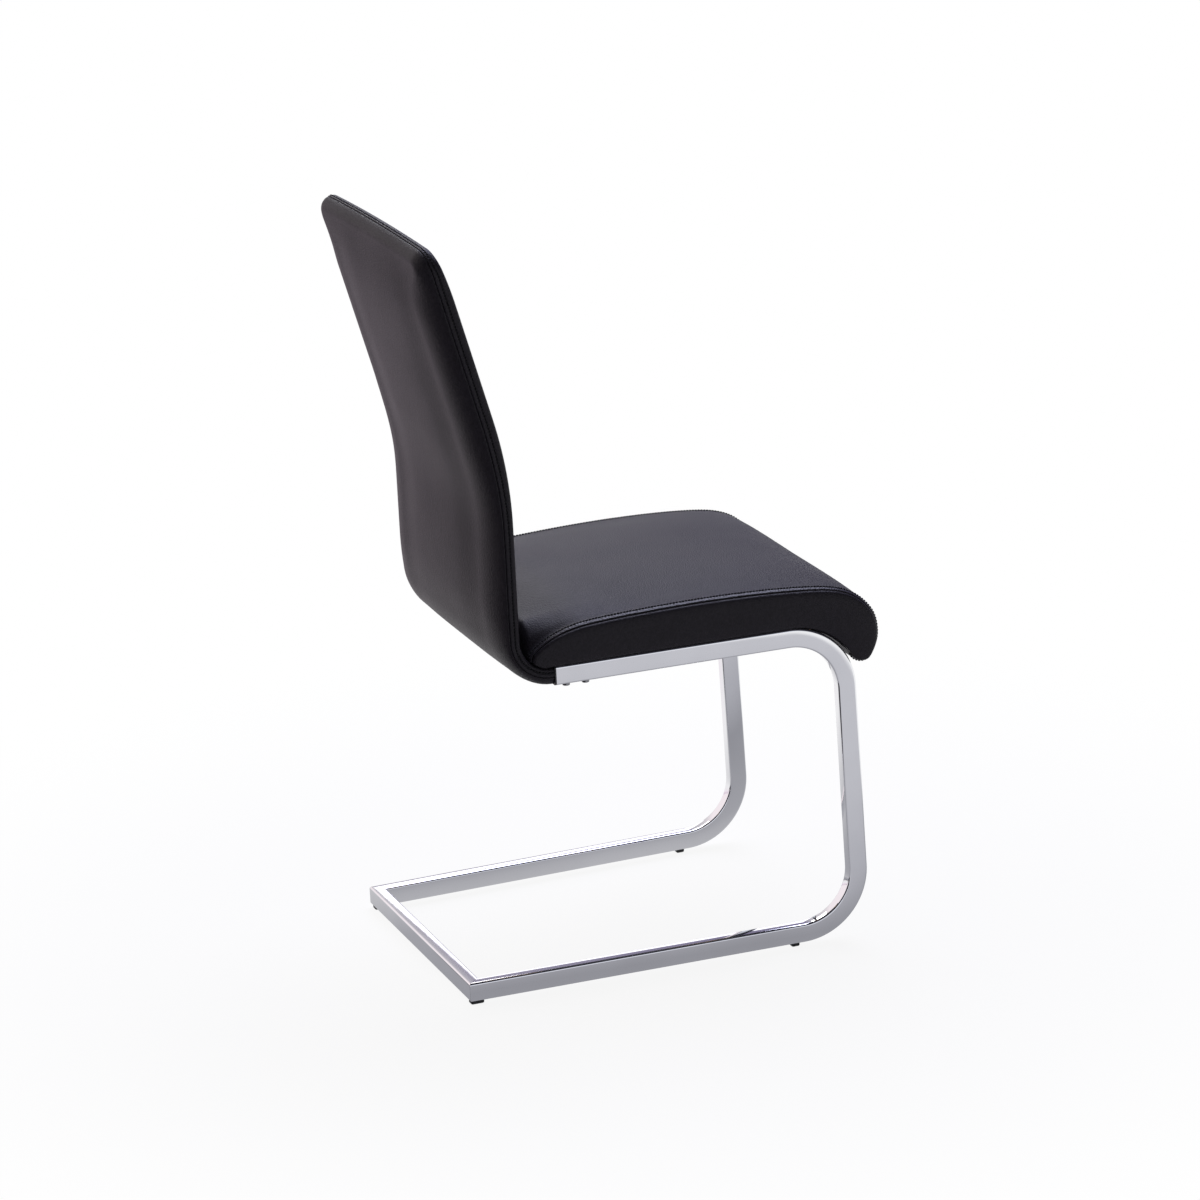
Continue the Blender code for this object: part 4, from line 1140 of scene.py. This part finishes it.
# Radius as a share of the head's, and height from the shank's end, the head's top and its face
SHANK = [(0.35, 0.0), (0.6, -0.0006)]
NECK = [(0.6, 0.0001), (0.92, 0.0), (1.0, -0.0004)]
FACE = [(1.0, 0.0009), (0.97, 0.0004), (0.86, 0.0)]
bolts = ["seat_bolt_%s_%d" % (hand, k) for hand in ("right", "left") for k in (1, 2)]
bolts += ["back_bolt_%d" % k for k in (1, 2, 3, 4)]
for name in bolts:
    low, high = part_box(name)
    x = (low.x + high.x) / 2
    y = (low.y + high.y) / 2 - SHIFT
    r = (high.x - low.x) / 2
    rings = []
    for level, profile in ((high.z, SHANK), (low.z + BOLT_HEAD_H, NECK), (low.z, FACE)):
        for share, over in profile:
            rings.append([(x + share * r * cos(radians(a)), y + share * r * sin(radians(a)),
                           level + over) for a in BOLT_ANGLES])
    for depth in SOCKET_DEPTHS:
        ring = []
        for a in BOLT_ANGLES:
            from_flat = radians((a + 30) % 60 - 30)
            reach = HEX * HEX_FLAT / cos(from_flat) + (HEX_BEVEL if depth == 0.0 else 0.0)
            ring.append((x + reach * cos(radians(a)), y + reach * sin(radians(a)), low.z + depth))
        rings.append(ring)
    ringed("socket_" + name, rings, PLATED, [name])

LOOKS = {"seat_bar": COATED, "seat_board": PLYWOOD, "back_board": PLYWOOD,
         "seat_dust_cover": LINING, "seat_screw": PLATED, "seat_insert": ZINC,
         "rail_plug": PLASTIC}
for name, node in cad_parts.items():
    for start, look in LOOKS.items():
        if name.startswith(start):
            node.data.materials.clear()
            node.data.materials.append(look)


# Floor, surroundings and lamps

FLOOR_HALF = 14
# What mirrored rays see of the floor is painted: it glows in painted tones and painted shade across
# it, paler in front, with a dark patch of painted shade behind
FLOOR_SPAN = (-1.6, 2.4)
PAINTED_FLOOR_TONES = [(0.035, (0.60, 0.60, 0.64)), (0.20, (0.58, 0.58, 0.62)),
               (0.295, (0.45, 0.45, 0.49)), (0.34, (0.32, 0.32, 0.35)),
               (0.42, (0.40, 0.40, 0.43)), (0.55, (0.95, 0.94, 0.95)),
               (0.70, (0.95, 0.87, 0.93)), (0.86, (0.82, 0.71, 0.80))]
PAINTED_PALE_SPAN = (-0.75, -0.95)
PAINTED_PALE = (0.96, 0.96, 0.97, 1.0)
SHADE_PATCH_SPAN = (0.30, 0.42)
SHADE_PATCH_ANGLES = (0.45, 0.75)
SHADE_PATCH_COLOR = (0.06, 0.056, 0.064, 1.0)
# Share of plain white that the camera sees, less near the chair so that its shadow shows
SHADOW_SPAN = (0.45, 1.3)
WHITE_SHARE = (0.9, 1.0)
# Tones of the room by direction: across on the near side, in depth on the far side
WHOLE = (-1.0, 1.0)
ROOM_NEAR = [(0.0, (0.80, 0.82, 0.90)), (0.055, (0.80, 0.82, 0.90)), (0.075, (0.03, 0.03, 0.04)),
             (0.45, (0.03, 0.03, 0.04)), (0.55, (0.42, 0.43, 0.46))]
ROOM_FAR = [(0.28, (0.205, 0.19, 0.325)), (0.335, (0.245, 0.22, 0.32)), (0.40, (0.56, 0.54, 0.58)),
            (0.52, (0.72, 0.68, 0.71)), (0.62, (1.0, 0.91, 0.94))]
FAR_SPAN = (-0.1, 0.3)


def calculated(tree, operation, *sources):
    return add_node(tree, "ShaderNodeMath", *sources, operation=operation).outputs["Value"]


def mixed_color(tree, *sources):
    return add_node(tree, "ShaderNodeMixRGB", *sources).outputs["Color"]


def mixed_shader(tree, *sources):
    return add_node(tree, "ShaderNodeMixShader", *sources).outputs["Shader"]


def floor_material():
    """White paper: plain to the camera but for a trace of shadow; to reflections it glows in
    painted tones and painted shade.
    """
    mat, tree, shader = new_material("white_floor")
    coords = tree.nodes.new("ShaderNodeTexCoord").outputs["Object"]
    paper_color = ramp(tree, noise(tree, coords, 1.5, 2.0),
                       [(0.3, (0.93, 0.93, 0.93)), (0.7, (0.95, 0.95, 0.95))])
    tree.links.new(paper_color, shader.inputs["Base Color"])
    shader.inputs["Roughness"].default_value = 0.9
    shader.inputs["Specular IOR Level"].default_value = 0.0
    plain = shader.outputs["BSDF"]

    # Painted reflection: a glow for glossy and transmission rays only, in painted tones, with a
    # paler front and a patch of painted shade
    apart = add_node(tree, "ShaderNodeSeparateXYZ", coords)
    x = apart.outputs["X"]
    y = apart.outputs["Y"]
    tone = ramp(tree, value_range(tree, x, FLOOR_SPAN, kind="LINEAR"), PAINTED_FLOOR_TONES)
    paled = mixed_color(tree, value_range(tree, y, PAINTED_PALE_SPAN), tone, PAINTED_PALE)
    past = calculated(tree, "SUBTRACT", y, SHADE_PATCH_SPAN[0])
    beside = value_range(tree, calculated(tree, "ARCTAN2", past, x), SHADE_PATCH_ANGLES)
    shade_patch = calculated(tree, "MULTIPLY", value_range(tree, y, SHADE_PATCH_SPAN), beside)
    painted_shade = mixed_color(tree, shade_patch, paled, SHADE_PATCH_COLOR)
    painted_reflection = add_node(tree, "ShaderNodeEmission", painted_shade).outputs["Emission"]

    distance = add_node(tree, "ShaderNodeVectorMath", coords, operation="LENGTH").outputs["Value"]
    white = tree.nodes.new("ShaderNodeEmission").outputs["Emission"]
    share = value_range(tree, distance, SHADOW_SPAN, WHITE_SHARE)
    paper = mixed_shader(tree, share, plain, white)
    path = tree.nodes.new("ShaderNodeLightPath").outputs
    seen = mixed_shader(tree, path["Is Camera Ray"], plain, paper)
    glossy = calculated(tree, "MAXIMUM", path["Is Glossy Ray"], path["Is Transmission Ray"])
    shown = mixed_shader(tree, glossy, seen, painted_reflection)
    tree.links.new(shown, tree.nodes["Material Output"].inputs["Surface"])
    return mat


floor = Builder()
floor.rows([[(-FLOOR_HALF, y, 0), (FLOOR_HALF, y, 0)] for y in (-FLOOR_HALF, FLOOR_HALF)])
ground = floor.object("floor", floor_material())

world = bpy.data.worlds.new("studio")
world.use_nodes = True
bpy.context.scene.world = world
tree = world.node_tree
tree.nodes.clear()
direction = tree.nodes.new("ShaderNodeTexCoord").outputs["Generated"]
apart = add_node(tree, "ShaderNodeSeparateXYZ", direction)
near = ramp(tree, value_range(tree, apart.outputs["X"], WHOLE, kind="LINEAR"), ROOM_NEAR)
far = ramp(tree, value_range(tree, apart.outputs["Y"], WHOLE, kind="LINEAR"), ROOM_FAR)
tone = mixed_color(tree, value_range(tree, apart.outputs["X"], FAR_SPAN), near, far)
room = add_node(tree, "ShaderNodeBackground", tone, Strength=1.0)
add_node(tree, "ShaderNodeOutputWorld", room.outputs["Background"])


def softbox(name, place, target, size, power, color=(1.0, 1.0, 1.0)):
    data = bpy.data.lights.new(name, "AREA")
    data.shape = "RECTANGLE"
    data.size, data.size_y = size
    data.energy = power
    data.color = color
    ob = bpy.data.objects.new(name, data)
    bpy.context.scene.collection.objects.link(ob)
    ob.location = place
    ob.rotation_euler = (Vector(target) - Vector(place)).to_track_quat("-Z", "Y").to_euler()


softbox("overhead", (1.3, -1.0, 3.2), (0.0, 0.0, 0.4), (2.2, 2.2), 76, (0.75, 0.77, 1.0))
softbox("far_strip", (3.2, -1.25, 1.15), (0.0, 0.0, 0.2), (2.2, 0.6), 5, (0.99, 0.99, 1.0))
softbox("high_strip", (3.3, -0.3, 2.55), (0.0, 0.2, 0.98), (1.6, 0.5), 12)

# Camera

YAW = radians(249.471)
PITCH = radians(17.313)
ROLL = radians(-2.777)
LENS = 145.13
DISTANCE = 6.2981
OFF_X = -0.0251
OFF_Y = 0.0001
AIM_Z = 0.45
SENSOR = 36
backward = Vector((sin(YAW) * cos(PITCH), -cos(YAW) * cos(PITCH), sin(PITCH)))
level = Vector((0, 0, 1)).cross(backward).normalized()
upward = backward.cross(level)
right = cos(ROLL) * level + sin(ROLL) * upward
above = -sin(ROLL) * level + cos(ROLL) * upward
camera_data = bpy.data.cameras.new("camera")
camera_data.lens = LENS
camera_data.sensor_width = SENSOR
camera = bpy.data.objects.new("camera", camera_data)
bpy.context.scene.collection.objects.link(camera)
spot = Vector((0, SHIFT, AIM_Z)) - OFF_X * right - OFF_Y * above + DISTANCE * backward
turned = Matrix((right, above, backward)).transposed().to_4x4()
camera.matrix_world = Matrix.Translation(spot) @ turned
bpy.context.scene.camera = camera
bpy.context.scene.view_settings.view_transform = "Standard"
